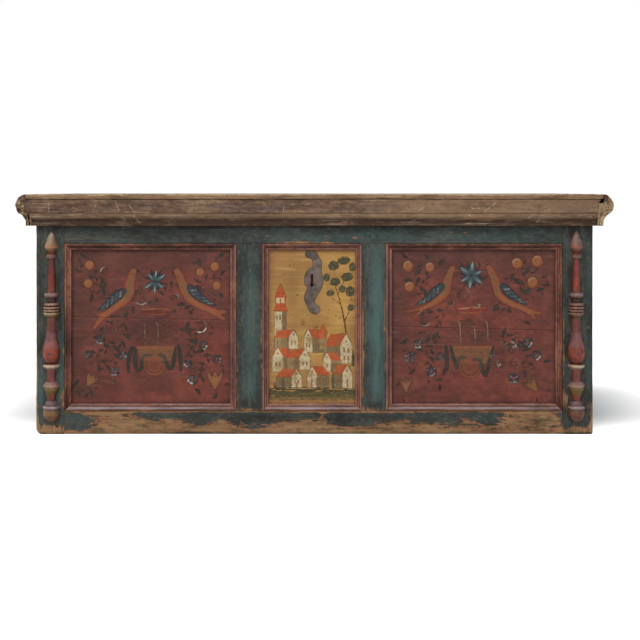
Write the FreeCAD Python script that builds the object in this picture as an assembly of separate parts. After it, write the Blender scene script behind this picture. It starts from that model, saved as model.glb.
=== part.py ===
import FreeCAD, Part
import math
import os

os.makedirs("parts", exist_ok=True)

# Millimetres. The chest stands on z = 0, its front faces -y, and x runs to the right seen from the front.

# Body
body_width = 1554.0
body_depth = 577.0
body_height = 648.0
side_thickness = 25.0
back_thickness = 25.0
bottom_thickness = 18.0
bottom_raise = 36.0
bottom_groove = 8.0
side_joint_height = 322.0
back_joint_height = 338.0
bottom_joint_offset = 6.0

# Front frame
frame_thickness = 30.0
left_stile_width = 79.0
right_stile_width = 85.0
left_muntin_width = 72.0
right_muntin_width = 67.0
top_rail_height = 116.0
bottom_rail_height = 65.0
centre_opening_width = 278.0
centre_opening_offset = -7.0
tenon_thickness = 10.0
tenon_length = 40.0
tenon_shoulder = 12.0
peg_radius = 4.0

# Panels of the front
panel_thickness = 12.0
panel_back_inset = 4.0
panel_groove = 8.0
left_joint_rise = 261.0
left_joint_fall = 11.0
right_joint_rise = 235.0
right_joint_fall = 14.0

# Planted mouldings: outline as shares of width (from the frame inwards) and of height (off the panel)
moulding_width = 18.0
moulding_proud = 3.0
moulding_outline_shares = (
    ((0.0, 0.80),),
    ((0.17, 1.0), (0.34, 0.80)),
    ((0.38, 0.66),),
    ((0.50, 0.52), (0.66, 0.44)),
    ((0.83, 0.58), (0.97, 0.34)),
    ((1.0, 0.0),),
)
pin_crest_share = 0.17
long_strip_pin_shares = (0.12, 0.5, 0.88)
short_strip_pin_shares = (0.2, 0.8)

# Split-turned columns: outline as shares of height (from the foot) and of the largest radius
column_radius = 24.5
column_foot_height = 33.5
column_tip_gap = 4.0
column_inset = 4.0  # nearer the middle of the chest than the middle of its stile
column_outline_shares = (
    ((0.0, 0.24),),
    ((0.012, 0.66), (0.034, 0.92)),
    ((0.050, 0.99), (0.066, 0.93)),
    ((0.067, 0.89),),
    ((0.078, 0.99), (0.088, 0.82)),
    ((0.089, 0.62),),
    ((0.0905, 0.76),),
    ((0.101, 0.70), (0.113, 0.54)),
    ((0.116, 0.48),),
    ((0.141, 0.60), (0.159, 0.75)),
    ((0.172, 0.86), (0.183, 0.90)),
    ((0.186, 0.97),),
    ((0.197, 0.92), (0.211, 0.70)),
    ((0.214, 0.60),),
    ((0.242, 0.52), (0.270, 0.60)),
    ((0.274, 0.68),),
    ((0.284, 0.90), (0.290, 0.99)),
    ((0.296, 0.92), (0.299, 0.70)),
    ((0.301, 0.58),),
    ((0.322, 0.86), (0.356, 1.0)),
    ((0.391, 0.92), (0.419, 0.75)),
    ((0.470, 0.60), (0.539, 0.545)),
    ((0.541, 0.60),),
    ((0.551, 0.86), (0.5605, 0.92)),
    ((0.565, 0.88), (0.5675, 0.80)),
    ((0.574, 0.92), (0.5803, 0.80)),
    ((0.5888, 0.92), (0.5973, 0.78)),
    ((0.6057, 0.86), (0.614, 0.72)),
    ((0.615, 0.47),),
    ((0.634, 0.53),),
    ((0.637, 0.60),),
    ((0.645, 0.80), (0.656, 0.85)),
    ((0.662, 0.78), (0.6655, 0.60)),
    ((0.667, 0.465),),
    ((0.7475, 0.450), (0.8365, 0.345)),
    ((0.839, 0.50),),
    ((0.850, 0.63), (0.861, 0.50)),
    ((0.862, 0.37),),
    ((0.8715, 0.39),),
    ((0.880, 0.57),),
    ((0.895, 0.80),),
    ((0.899, 0.81),),
    ((0.912, 0.59), (0.931, 0.42)),
    ((0.968, 0.28),),
    ((1.0, 0.11),),
    ((1.0, 0.0),),
)
column_nail_shares = ((0.242, 0.52), (0.356, 1.0))

# Lid
lid_thickness = 22.0
lid_front_overhang = 37.0
lid_rear_overhang = 36.0
lid_side_overhang = 50.0
lid_seat_gap = 0.3
lid_joint_offset = 18.0
lid_rebate_height = 9.0
nosing_round = 4.0
nosing_projection = 5.0
apron_gap = 3.0
band_height = 40.0
band_chamfer = 2.0
cyma_height = 35.0
cyma_outline_shares = (
    ((0.0, 0.94),),
    ((0.02, 0.66), (0.22, 0.52)),
    ((0.40, 0.34), (0.34, 0.16)),
    ((0.30, 0.15),),
    ((0.30, 0.0),),
)
end_moulding_top_width = 30.0
end_moulding_tongue = 13.0
end_moulding_setback = 3.0
end_moulding_outline_shares = (
    ((0.32, 0.0),),
    ((0.39, 0.20), (0.64, 0.36)),
    ((0.75, 0.38),),
    ((1.0, 0.66), (0.42, 1.0)),
)

# Nails, pins and pegs
wood_nail_radius = 1.8
wood_nail_head_radius = 4.2
wood_nail_head_height = 1.6
wood_nail_length = 58.0
column_nail_grip = 18.0
lid_nail_length = 42.0
cyma_nail_length = 52.0
moulding_pin_radius = 0.8
moulding_pin_head_radius = 1.8
moulding_pin_head_height = 1.0
moulding_pin_grip = 7.0
iron_nail_radius = 1.4
iron_nail_head_radius = 4.0
iron_nail_head_height = 1.8
escutcheon_nail_grip = 8.0
lock_nail_grip = 11.0
leaf_nail_grip = 17.0
strap_nail_grip = 15.0
nail_fit = 0.05
front_nail_shares = (0.12, 0.46, 0.93)
back_nail_shares = (0.09, 0.33, 0.62, 0.92)
lid_front_nail_shares = (0.06, 0.29, 0.52, 0.74, 0.95)
lid_end_nail_shares = (0.1, 0.37, 0.63, 0.9)
cyma_nail_shares = (0.08, 0.36, 0.65, 0.93)

# Hinges
strap_width = 36.0
strap_tip_width = 20.0
strap_thickness = 3.0
strap_length = 400.0
strap_notch_clearance = 0.7
hinge_offset = 520.0
eye_radius = 6.0
eye_width = 13.0
hinge_pin_radius = 3.0
hinge_pin_head_radius = 4.6
hinge_pin_head_height = 1.6
hinge_clearance = 0.3
running_fit = 0.05
leaf_thickness = 3.0
leaf_height = 112.0
leaf_nail_shares = (0.46, 0.68, 0.9)
strap_nail_shares = (0.12, 0.4, 0.68, 0.93)

# Escutcheon: smooth runs between corners, as shares of width (from the left) and height (from the top)
escutcheon_width = 54.0
escutcheon_height = 178.0
escutcheon_thickness = 2.5
escutcheon_top_gap = 2.0
escutcheon_offset = 5.0
escutcheon_run_shares = (
    ((0.16, 0.0), (0.37, 0.015), (0.58, 0.002)),
    ((0.58, 0.002), (0.79, 0.10), (0.925, 0.20), (0.90, 0.326), (1.0, 0.452), (0.94, 0.561),
     (0.82, 0.633), (0.642, 0.724), (0.552, 0.796), (0.62, 0.85)),
    ((0.62, 0.85), (0.80, 0.885), (0.836, 0.932), (0.76, 0.977), (0.552, 1.0), (0.313, 0.968),
     (0.149, 0.878), (0.015, 0.787), (0.015, 0.697), (0.134, 0.606), (0.17, 0.579)),
    ((0.17, 0.579), (0.03, 0.534), (0.0, 0.452), (0.045, 0.371), (0.164, 0.308), (0.373, 0.262),
     (0.433, 0.199), (0.343, 0.127)),
    ((0.343, 0.127), (0.20, 0.115), (0.09, 0.095), (0.05, 0.035), (0.16, 0.0)),
)
escutcheon_nail_shares = ((0.57, 0.13), (0.43, 0.70), (0.45, 0.93))
keyhole_drop = 96.0
keyhole_radius = 5.0
keyhole_slot_width = 5.2
keyhole_slot_height = 30.0

# Lock
lock_plate_width = 150.0
lock_plate_thickness = 2.5
lock_plate_top_gap = 10.0
lock_plate_foot = 34.0
lock_plate_corner = 14.0
lock_nail_inset = 9.0
bolt_drop = 50.0
bolt_left_reach = 55.0
bolt_right_reach = 45.0
bolt_height = 12.0
bolt_thickness = 6.0
bolt_travel = 16.0
bolt_clearance = 0.3
bolt_tail_width = 12.0
bolt_tail_end = 40.0
guide_wall = 2.5
guide_length = 8.0
guide_offset_shares = (-0.8, 0.55)
staple_plate_gap = 4.5
staple_wire = 4.5
staple_bolt_gap = 2.5
staple_thickness = 8.0
staple_nose_gap = 2.0
staple_foot_width = 34.0
staple_foot_length = 44.0
cover_width = 96.0
cover_rise = 64.0
cover_foot = 22.0
cover_depth = 22.0
cover_wall = 1.5
cover_flange = 12.0
cover_rivet_shares = (0.2, 0.8)
spring_leaf = 1.5
spring_lift = 11.0
spring_tip_lift = 3.0
spring_stud = 6.0

# Till
till_width = 115.0
till_drop = 143.0
till_height = 105.0
till_board = 12.0
till_housing = 4.0
till_bottom_board = 9.0
till_bottom_inset = 8.0
till_lid_board = 9.0
till_lid_gap = 0.5
till_seat_gap = 0.3
till_pivot_inset = 7.0
till_pivot_radius = 4.0
till_pivot_length = 8.0

cut_overrun = 5.0

# Planes and edges worked out from the sizes above
front_y = -(body_depth + lid_front_overhang + lid_rear_overhang) / 2 + lid_front_overhang
rear_y = front_y + body_depth
frame_back_y = front_y + frame_thickness
back_inner_y = rear_y - back_thickness
panel_back_y = frame_back_y - panel_back_inset
panel_front_y = panel_back_y - panel_thickness
half_width = body_width / 2
left_stile_edge = -half_width + left_stile_width
right_stile_edge = half_width - right_stile_width
centre_left = centre_opening_offset - centre_opening_width / 2
centre_right = centre_opening_offset + centre_opening_width / 2
left_muntin_edge = centre_left - left_muntin_width
right_muntin_edge = centre_right + right_muntin_width
opening_top = body_height - top_rail_height
opening_bottom = bottom_rail_height
tenon_front_y = front_y + (frame_thickness - tenon_thickness) / 2
tenon_back_y = tenon_front_y + tenon_thickness

lid_under = body_height + lid_seat_gap
lid_top = lid_under + lid_thickness
lid_front_y = front_y - lid_front_overhang
lid_rear_y = rear_y + lid_rear_overhang
lid_half = half_width + lid_side_overhang
lid_board_half = lid_half - end_moulding_top_width
apron_half = lid_board_half - end_moulding_tongue
apron_back_y = front_y - apron_gap
apron_front_y = lid_front_y + nosing_projection
rebate_top = lid_under + lid_rebate_height
band_bottom = rebate_top - band_height
apron_bottom = band_bottom - cyma_height
lid_joint_y = lid_joint_offset

column_height = apron_bottom - column_tip_gap - column_foot_height

hinge_y = rear_y + eye_radius + hinge_clearance
hinge_z = lid_under - eye_radius

lock_x = centre_opening_offset
lock_face_y = frame_back_y + lock_plate_thickness
keyhole_z = opening_top - moulding_width - escutcheon_top_gap - keyhole_drop
bolt_z = body_height - bolt_drop
bolt_front_y = lock_face_y + staple_plate_gap + staple_wire + staple_bolt_gap
bolt_back_y = bolt_front_y + bolt_thickness
staple_x = lock_x + bolt_right_reach + staple_nose_gap + staple_thickness / 2

till_top = body_height - till_drop
side_inner = half_width - side_thickness
till_wall_x = -side_inner + till_width
till_pivot_x = -side_inner + till_pivot_inset
till_pivot_z = till_top + till_seat_gap + till_lid_board / 2

across = FreeCAD.Vector(1, 0, 0)
inward = FreeCAD.Vector(0, 1, 0)
outward = FreeCAD.Vector(0, -1, 0)
upward = FreeCAD.Vector(0, 0, 1)
downward = FreeCAD.Vector(0, 0, -1)


def block(x_low, x_high, y_low, y_high, z_low, z_high):
    corner = FreeCAD.Vector(x_low, y_low, z_low)
    return Part.makeBox(x_high - x_low, y_high - y_low, z_high - z_low, corner)


def outline_face(start, runs, place):
    """Closed face from a start point and runs of (end,) lines or (through, end) arcs."""
    edges = []
    here = place(*start)
    for run in runs:
        there = place(*run[-1])
        if len(run) == 1:
            edges.append(Part.LineSegment(here, there).toShape())
        else:
            edges.append(Part.Arc(here, place(*run[0]), there).toShape())
        here = there
    edges.append(Part.LineSegment(here, place(*start)).toShape())
    return Part.Face(Part.Wire(edges))


def polygon_face(points):
    return Part.Face(Part.makePolygon(list(points) + [points[0]]))


def nail(point, direction, length, radius, head_radius, head_height):
    """Nail with its head's outer face on the point, driven along the direction."""
    head = Part.makeCylinder(head_radius, head_height, point, direction)
    shank = Part.makeCylinder(radius, length, point, direction)
    return head.fuse(shank).removeSplitter()


def nail_hole(point, direction, length, radius, head_radius, head_height):
    """Room for a nail whose head is let in flush."""
    mouth = point - direction * cut_overrun
    pocket = Part.makeCylinder(head_radius + nail_fit, head_height + cut_overrun, mouth, direction)
    shaft = Part.makeCylinder(radius + nail_fit, length + nail_fit + cut_overrun, mouth, direction)
    return pocket.fuse(shaft)


def cut_where_near(shape, tools):
    near = [tool for tool in tools if shape.BoundBox.intersect(tool.BoundBox)]
    return shape.cut(near) if near else shape


def save(name, shape):
    shape.exportStep("parts/" + name + ".step")


# Places of the fasteners: each is (point, direction, length)

def wood_nail_places():
    places = []
    side_middle = side_inner + side_thickness / 2
    for x in (-side_middle, side_middle):
        for share in front_nail_shares:
            places.append((FreeCAD.Vector(x, front_y, share * body_height), inward, wood_nail_length))
        for share in back_nail_shares:
            places.append((FreeCAD.Vector(x, rear_y, share * body_height), outward, wood_nail_length))
    for x in column_middles():
        for height_share, radius_share in column_nail_shares:
            reach = radius_share * column_radius
            z = column_foot_height + height_share * column_height
            places.append((FreeCAD.Vector(x, front_y - reach, z), inward, reach + column_nail_grip))
    return places


def lid_nail_places():
    places = []
    band_middle = (apron_front_y + apron_back_y) / 2
    for share in lid_front_nail_shares:
        x = -apron_half + share * 2 * apron_half
        places.append((FreeCAD.Vector(x, band_middle, lid_top), downward, lid_nail_length))
    for share in cyma_nail_shares:
        x = -apron_half + share * 2 * apron_half
        y = (cyma_bottom_front_y() + apron_back_y) / 2
        places.append((FreeCAD.Vector(x, y, apron_bottom), upward, cyma_nail_length))
    tongue_middle = lid_board_half - end_moulding_tongue / 2
    for x in (-tongue_middle, tongue_middle):
        for share in lid_end_nail_shares:
            y = apron_back_y + share * (lid_rear_y - apron_back_y)
            places.append((FreeCAD.Vector(x, y, lid_top), downward, lid_nail_length))
    return places


def wood_nail_size():
    return wood_nail_radius, wood_nail_head_radius, wood_nail_head_height


def moulding_pin_places():
    places = []
    crest_y = panel_front_y - moulding_height()
    inset = pin_crest_share * moulding_width
    for left, right in panel_openings():
        for z in (opening_bottom + inset, opening_top - inset):
            for share in long_strip_pin_shares:
                point = FreeCAD.Vector(left + share * (right - left), crest_y, z)
                places.append((point, inward, moulding_height() + moulding_pin_grip))
        for x in (left + inset, right - inset):
            for share in short_strip_pin_shares:
                z = opening_bottom + share * (opening_top - opening_bottom)
                places.append((FreeCAD.Vector(x, crest_y, z), inward, moulding_height() + moulding_pin_grip))
    return places


def moulding_pin_size():
    return moulding_pin_radius, moulding_pin_head_radius, moulding_pin_head_height


def peg_places():
    """Two pegs through each tenon of the frame, as (x, z)."""
    places = []
    for edge, side in ((left_stile_edge, -1), (right_stile_edge, 1)):
        x = edge + side * tenon_length / 2
        for low, high in ((0.0, bottom_rail_height), (opening_top, body_height)):
            first = low + tenon_shoulder
            span = high - tenon_shoulder - first
            places += [(x, first + span / 4), (x, first + span * 3 / 4)]
    for left, right in ((left_muntin_edge, centre_left), (centre_right, right_muntin_edge)):
        first = left + tenon_shoulder
        span = right - tenon_shoulder - first
        for z in (opening_top + tenon_length / 2, opening_bottom - tenon_length / 2):
            places += [(first + span / 4, z), (first + span * 3 / 4, z)]
    return places


def peg(x, z, radius, start_y):
    return Part.makeCylinder(radius, tenon_back_y - start_y, FreeCAD.Vector(x, start_y, z), inward)


def frame_pegs():
    return [peg(x, z, peg_radius, front_y) for x, z in peg_places()]


def peg_holes():
    return [peg(x, z, peg_radius + nail_fit, front_y - cut_overrun) for x, z in peg_places()]


# Front frame and its panels

def panel_openings():
    return (
        (left_stile_edge, left_muntin_edge),
        (centre_left, centre_right),
        (right_muntin_edge, right_stile_edge),
    )


def panel_blank(left, right):
    """A panel before it is split into boards, reaching into the grooves."""
    return block(
        left - panel_groove, right + panel_groove, panel_front_y, panel_back_y,
        opening_bottom - panel_groove, opening_top + panel_groove,
    )


def bottom_blank():
    return block(
        -side_inner - bottom_groove, side_inner + bottom_groove,
        frame_back_y - bottom_groove, back_inner_y + bottom_groove,
        bottom_raise, bottom_raise + bottom_thickness,
    )


def rail_tenons(low, high):
    """Tenons of a rail into both stiles."""
    first, last = low + tenon_shoulder, high - tenon_shoulder
    return [
        block(left_stile_edge - tenon_length, left_stile_edge, tenon_front_y, tenon_back_y, first, last),
        block(right_stile_edge, right_stile_edge + tenon_length, tenon_front_y, tenon_back_y, first, last),
    ]


def muntin_tenons(left, right):
    """Tenons of a muntin into both rails."""
    first, last = left + tenon_shoulder, right - tenon_shoulder
    return [
        block(first, last, tenon_front_y, tenon_back_y, opening_bottom - tenon_length, opening_bottom),
        block(first, last, tenon_front_y, tenon_back_y, opening_top, opening_top + tenon_length),
    ]


def frame_cuts():
    """Grooves for the panels and the bottom, peg holes and nail holes."""
    cuts = [panel_blank(left, right) for left, right in panel_openings()]
    cuts.append(bottom_blank())
    cuts += peg_holes()
    cuts += wood_nail_holes()
    return cuts


def wood_nail_holes():
    return [nail_hole(*place, *wood_nail_size()) for place in wood_nail_places()]


def till_pivot_holes():
    holes = []
    for y, direction in ((frame_back_y, outward), (back_inner_y, inward)):
        start = FreeCAD.Vector(till_pivot_x, y, till_pivot_z) - direction * cut_overrun
        length = till_pivot_length + till_housing + cut_overrun
        holes.append(Part.makeCylinder(till_pivot_radius + running_fit, length, start, direction))
    return holes


def stile(x_low, x_high):
    body = block(x_low, x_high, front_y, frame_back_y, 0.0, body_height)
    mortises = rail_tenons(0.0, bottom_rail_height) + rail_tenons(opening_top, body_height)
    return cut_where_near(body, mortises + frame_cuts() + till_pivot_holes())


def rail(low, high):
    body = block(left_stile_edge, right_stile_edge, front_y, frame_back_y, low, high)
    body = body.fuse(rail_tenons(low, high)).removeSplitter()
    mortises = muntin_tenons(left_muntin_edge, centre_left) + muntin_tenons(centre_right, right_muntin_edge)
    return cut_where_near(body, mortises + frame_cuts() + lock_nail_holes())


def muntin(left, right):
    body = block(left, right, front_y, frame_back_y, opening_bottom, opening_top)
    body = body.fuse(muntin_tenons(left, right)).removeSplitter()
    return cut_where_near(body, frame_cuts())


def split_panel(left, right, joint_rise, joint_fall, cuts):
    """Two boards that meet along a joint which falls towards the right end."""
    blank = cut_where_near(panel_blank(left, right), cuts)
    x_low, x_high = left - panel_groove - cut_overrun, right + panel_groove + cut_overrun
    z_left = opening_bottom + joint_rise
    z_right = z_left - joint_fall
    z_low = opening_bottom - panel_groove - cut_overrun
    lower_half = polygon_face([
        FreeCAD.Vector(x_low, panel_front_y - cut_overrun, z_low),
        FreeCAD.Vector(x_high, panel_front_y - cut_overrun, z_low),
        FreeCAD.Vector(x_high, panel_front_y - cut_overrun, z_right),
        FreeCAD.Vector(x_low, panel_front_y - cut_overrun, z_left),
    ]).extrude(inward * (panel_thickness + 2 * cut_overrun))
    return blank.cut(lower_half), blank.common(lower_half)


def keyhole_tool(front, back):
    """Round hole with a slot above it, along y."""
    round_part = Part.makeCylinder(keyhole_radius, back - front, FreeCAD.Vector(lock_x, front, keyhole_z), inward)
    slot = block(
        lock_x - keyhole_slot_width / 2, lock_x + keyhole_slot_width / 2, front, back,
        keyhole_z, keyhole_z + keyhole_slot_height,
    )
    return round_part.fuse(slot)


def centre_panel():
    blank = panel_blank(centre_left, centre_right)
    cuts = moulding_pin_holes() + escutcheon_nail_holes() + lock_nail_holes()
    cuts.append(keyhole_tool(panel_front_y - cut_overrun, panel_back_y + cut_overrun))
    return cut_where_near(blank, cuts)


# Planted mouldings

def moulding_height():
    return panel_front_y - front_y + moulding_proud


def moulding_pin_holes():
    return [nail_hole(*place, *moulding_pin_size()) for place in moulding_pin_places()]


def moulding_strip(left, right, place, sweep, mitred_face):
    """One strip: its outline swept along the opening's edge and mitred at both ends."""
    height = moulding_height()

    def placed(width_share, height_share):
        return place(width_share * moulding_width, panel_front_y - height_share * height)

    runs = [tuple(point for point in run) for run in moulding_outline_shares]
    strip = outline_face((0.0, 0.0), runs, placed).extrude(sweep)
    prism = mitred_face.extrude(inward * (height + 2 * cut_overrun))
    return cut_where_near(strip.common(prism), moulding_pin_holes())


def panel_mouldings(left, right):
    """Top, bottom, left and right strip round one opening."""
    low, high, width = opening_bottom, opening_top, moulding_width
    y = panel_front_y - moulding_height() - cut_overrun
    along_x = across * (right - left)
    along_z = upward * (high - low)

    def face(points):
        return polygon_face([FreeCAD.Vector(x, y, z) for x, z in points])

    top = face([(left, high), (right, high), (right - width, high - width), (left + width, high - width)])
    bottom = face([(left, low), (right, low), (right - width, low + width), (left + width, low + width)])
    near_left = face([(left, low), (left, high), (left + width, high - width), (left + width, low + width)])
    near_right = face([(right, low), (right, high), (right - width, high - width), (right - width, low + width)])
    return {
        "top": moulding_strip(left, right, lambda w, h: FreeCAD.Vector(left, h, high - w), along_x, top),
        "bottom": moulding_strip(left, right, lambda w, h: FreeCAD.Vector(left, h, low + w), along_x, bottom),
        "left": moulding_strip(left, right, lambda w, h: FreeCAD.Vector(left + w, h, low), along_z, near_left),
        "right": moulding_strip(left, right, lambda w, h: FreeCAD.Vector(right - w, h, low), along_z, near_right),
    }


# Columns

def column_middles():
    return (-half_width + left_stile_width / 2 + column_inset, half_width - right_stile_width / 2 - column_inset)


def column(x_middle):
    """Half turning with its flat back on the stile."""

    def placed(height_share, radius_share):
        x = x_middle + radius_share * column_radius
        return FreeCAD.Vector(x, front_y, column_foot_height + height_share * column_height)

    face = outline_face((0.0, 0.0), column_outline_shares, placed)
    turning = face.revolve(FreeCAD.Vector(x_middle, front_y, 0.0), downward, 180)
    return cut_where_near(turning, wood_nail_holes())


# Sides, back and bottom

def side_board(side, z_low, z_high):
    x_low, x_high = sorted((side * side_inner, side * half_width))
    board = block(x_low, x_high, frame_back_y, back_inner_y, z_low, z_high)
    return cut_where_near(board, [bottom_blank(), till_bottom_blank()] + wood_nail_holes())


def strap_notches():
    depth = strap_thickness - lid_seat_gap + strap_notch_clearance
    half = strap_width / 2 + strap_notch_clearance
    return [
        block(x - half, x + half, back_inner_y - cut_overrun, rear_y + cut_overrun,
              body_height - depth, body_height + cut_overrun)
        for x in hinge_middles()
    ]


def back_board(z_low, z_high):
    board = block(-half_width, half_width, back_inner_y, rear_y, z_low, z_high)
    cuts = [bottom_blank(), till_front_blank()] + wood_nail_holes() + strap_notches()
    return cut_where_near(board, cuts + leaf_nail_holes() + till_pivot_holes())


def bottom_boards():
    blank = bottom_blank()
    joint_y = (frame_back_y + back_inner_y) / 2 + bottom_joint_offset
    front_half = block(-half_width, half_width, front_y, joint_y, 0.0, body_height)
    return blank.common(front_half), blank.cut(front_half)


# Till

def till_front_blank():
    return block(
        till_wall_x, till_wall_x + till_board, panel_back_y - till_housing, back_inner_y + till_housing,
        till_top - till_height, till_top,
    )


def till_bottom_blank():
    low = till_top - till_height + till_bottom_inset
    return block(
        -side_inner - till_housing, till_wall_x + till_housing, panel_back_y, back_inner_y,
        low, low + till_bottom_board,
    )


def till_front():
    return till_front_blank().cut(till_bottom_blank())


def till_bottom():
    frame_zone = block(-half_width, left_stile_edge, front_y, frame_back_y, 0.0, body_height)
    return till_bottom_blank().cut(frame_zone)


def till_lid():
    """Board with a rounded back edge, on two wooden pivots of its own."""
    low, high = till_top + till_seat_gap, till_top + till_seat_gap + till_lid_board
    y_low, y_high = frame_back_y + till_lid_gap, back_inner_y - till_lid_gap
    board = block(till_pivot_x, till_wall_x + till_board, y_low, y_high, low, high)
    start = FreeCAD.Vector(till_pivot_x, y_low, till_pivot_z)
    round_edge = Part.makeCylinder(till_lid_board / 2, y_high - y_low, start, inward)
    pivot_start = FreeCAD.Vector(till_pivot_x, frame_back_y - till_pivot_length, till_pivot_z)
    pivot_length = back_inner_y - frame_back_y + 2 * till_pivot_length
    pivots = Part.makeCylinder(till_pivot_radius, pivot_length, pivot_start, inward)
    return board.fuse([round_edge, pivots]).removeSplitter()


# Lid

def lid_boards():
    """Front board with its nosing and rebate, and rear board."""

    def placed(y, z):
        return FreeCAD.Vector(-lid_board_half, y, z)

    bend = nosing_round * (1 - math.sqrt(1 / 2))
    runs = (
        ((apron_back_y, lid_under),),
        ((apron_back_y, rebate_top),),
        ((lid_front_y + nosing_round, rebate_top),),
        ((lid_front_y + bend, rebate_top + bend), (lid_front_y, rebate_top + nosing_round)),
        ((lid_front_y, lid_top - nosing_round),),
        ((lid_front_y + bend, lid_top - bend), (lid_front_y + nosing_round, lid_top)),
        ((lid_joint_y, lid_top),),
    )
    front = outline_face((lid_joint_y, lid_under), runs, placed).extrude(across * (2 * lid_board_half))
    rear = block(-lid_board_half, lid_board_half, lid_joint_y, lid_rear_y, lid_under, lid_top)
    holes = lid_nail_holes() + strap_nail_holes()
    return cut_where_near(front, holes), cut_where_near(rear, holes)


def lid_nail_holes():
    return [nail_hole(*place, *wood_nail_size()) for place in lid_nail_places()]


def front_band():
    """Band whose upper lip runs out over the end mouldings to the lid's ends."""

    def strip(half, bottom):
        points = [
            (apron_back_y, bottom),
            (apron_front_y, bottom),
            (apron_front_y, rebate_top - band_chamfer),
            (apron_front_y + band_chamfer, rebate_top),
            (apron_back_y, rebate_top),
        ]
        return polygon_face([FreeCAD.Vector(-half, y, z) for y, z in points]).extrude(across * (2 * half))

    band = strip(apron_half, band_bottom).fuse(strip(lid_board_half, lid_under)).removeSplitter()
    return cut_where_near(band, lid_nail_holes())


def cyma_bottom_front_y():
    setback_share = cyma_outline_shares[-1][-1][0]
    return apron_front_y + setback_share * (apron_back_y - apron_front_y)


def front_cyma():
    """Moulding under the band: a swelling, a hollow and a small lip."""
    depth = apron_back_y - apron_front_y

    def placed(depth_share, height_share):
        y = apron_front_y + depth_share * depth
        return FreeCAD.Vector(-apron_half, y, apron_bottom + height_share * cyma_height)

    runs = (((0.0, 1.0),),) + cyma_outline_shares + (((1.0, 0.0),),)
    face = outline_face((1.0, 1.0), runs, placed)
    return cut_where_near(face.extrude(across * (2 * apron_half)), lid_nail_holes())


def end_moulding(side):
    width = lid_half - apron_half
    height = lid_top - apron_bottom
    y_low = lid_front_y + end_moulding_setback

    def placed(width_share, height_share):
        x = side * (apron_half + width_share * width)
        return FreeCAD.Vector(x, y_low, apron_bottom + height_share * height)

    tongue_share = end_moulding_tongue / width
    under_share = (lid_under - apron_bottom) / height
    runs = end_moulding_outline_shares + (((tongue_share, 1.0),), ((tongue_share, under_share),),
                                          ((0.0, under_share),))
    face = outline_face((0.0, 0.0), runs, placed)
    return cut_where_near(face.extrude(inward * (lid_rear_y - y_low)), lid_nail_holes())


# Hinges

def hinge_middles():
    return (-hinge_offset, hinge_offset)


def eye(x_low, x_high, radius):
    start = FreeCAD.Vector(x_low, hinge_y, hinge_z)
    return Part.makeCylinder(radius, x_high - x_low, start, across)


def eye_bore(x_middle):
    start = FreeCAD.Vector(x_middle - strap_width, hinge_y, hinge_z)
    return Part.makeCylinder(hinge_pin_radius + running_fit, 2 * strap_width, start, across)


def strap_span():
    """Ends of the strap in y, from its tip to where it narrows to the eye."""
    return rear_y - strap_length, rear_y - leaf_thickness


def hinge_strap(x_middle):
    y_tip, y_neck = strap_span()
    half, tip_half = strap_width / 2, strap_tip_width / 2
    top = lid_under
    points = [
        FreeCAD.Vector(x_middle - half, y_neck, top),
        FreeCAD.Vector(x_middle - tip_half, y_tip + tip_half, top),
        FreeCAD.Vector(x_middle, y_tip, top),
        FreeCAD.Vector(x_middle + tip_half, y_tip + tip_half, top),
        FreeCAD.Vector(x_middle + half, y_neck, top),
    ]
    plate = polygon_face(points).extrude(downward * strap_thickness)
    x_low, x_high = x_middle - eye_width / 2, x_middle + eye_width / 2
    tongue = block(x_low, x_high, y_neck - strap_tip_width, hinge_y, top - strap_thickness, top)
    strap = plate.fuse([tongue, eye(x_low, x_high, eye_radius)]).removeSplitter()
    holes = [iron_nail_hole(point, direction, grip) for point, direction, grip in strap_nail_places()]
    return cut_where_near(strap, [eye_bore(x_middle)] + holes)


def hinge_leaf(x_middle):
    """Plate on the back with an eye at each side of the strap's eye."""
    half = strap_width / 2
    inner = eye_width / 2 + hinge_clearance
    plate = block(x_middle - half, x_middle + half, rear_y, rear_y + leaf_thickness,
                  hinge_z - leaf_height, hinge_z)
    radius = eye_radius - hinge_clearance
    leaf = plate.fuse([
        eye(x_middle - half, x_middle - inner, radius),
        eye(x_middle + inner, x_middle + half, radius),
    ])
    start = FreeCAD.Vector(x_middle - inner, hinge_y, hinge_z)
    room = Part.makeCylinder(eye_radius + hinge_clearance, 2 * inner, start, across)
    holes = [iron_nail_hole(point, direction, grip) for point, direction, grip in leaf_nail_places()]
    return cut_where_near(leaf.cut(room), [eye_bore(x_middle)] + holes).removeSplitter()


def hinge_pin(x_middle):
    half = strap_width / 2 + hinge_clearance
    start = FreeCAD.Vector(x_middle - half, hinge_y, hinge_z)
    shank = Part.makeCylinder(hinge_pin_radius, 2 * half, start, across)
    heads = [
        Part.makeCylinder(hinge_pin_head_radius, hinge_pin_head_height, start, across * -1),
        Part.makeCylinder(hinge_pin_head_radius, hinge_pin_head_height, start + across * (2 * half), across),
    ]
    return shank.fuse(heads).removeSplitter()


# Nails that hold iron: the point lies on the outer iron face, the direction runs into the wood

def iron_nail(point, direction, grip):
    head = Part.makeCylinder(iron_nail_head_radius, iron_nail_head_height, point, direction * -1)
    shank = Part.makeCylinder(iron_nail_radius, grip, point, direction)
    return head.fuse(shank).removeSplitter()


def iron_nail_hole(point, direction, grip):
    start = point - direction * cut_overrun
    return Part.makeCylinder(iron_nail_radius + nail_fit, grip + nail_fit + cut_overrun, start, direction)


def leaf_nail_places():
    y = rear_y + leaf_thickness
    grip = leaf_thickness + leaf_nail_grip
    return [
        (FreeCAD.Vector(x, y, hinge_z - share * leaf_height), outward, grip)
        for x in hinge_middles() for share in leaf_nail_shares
    ]


def leaf_nail_holes():
    return [iron_nail_hole(*place) for place in leaf_nail_places()]


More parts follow.
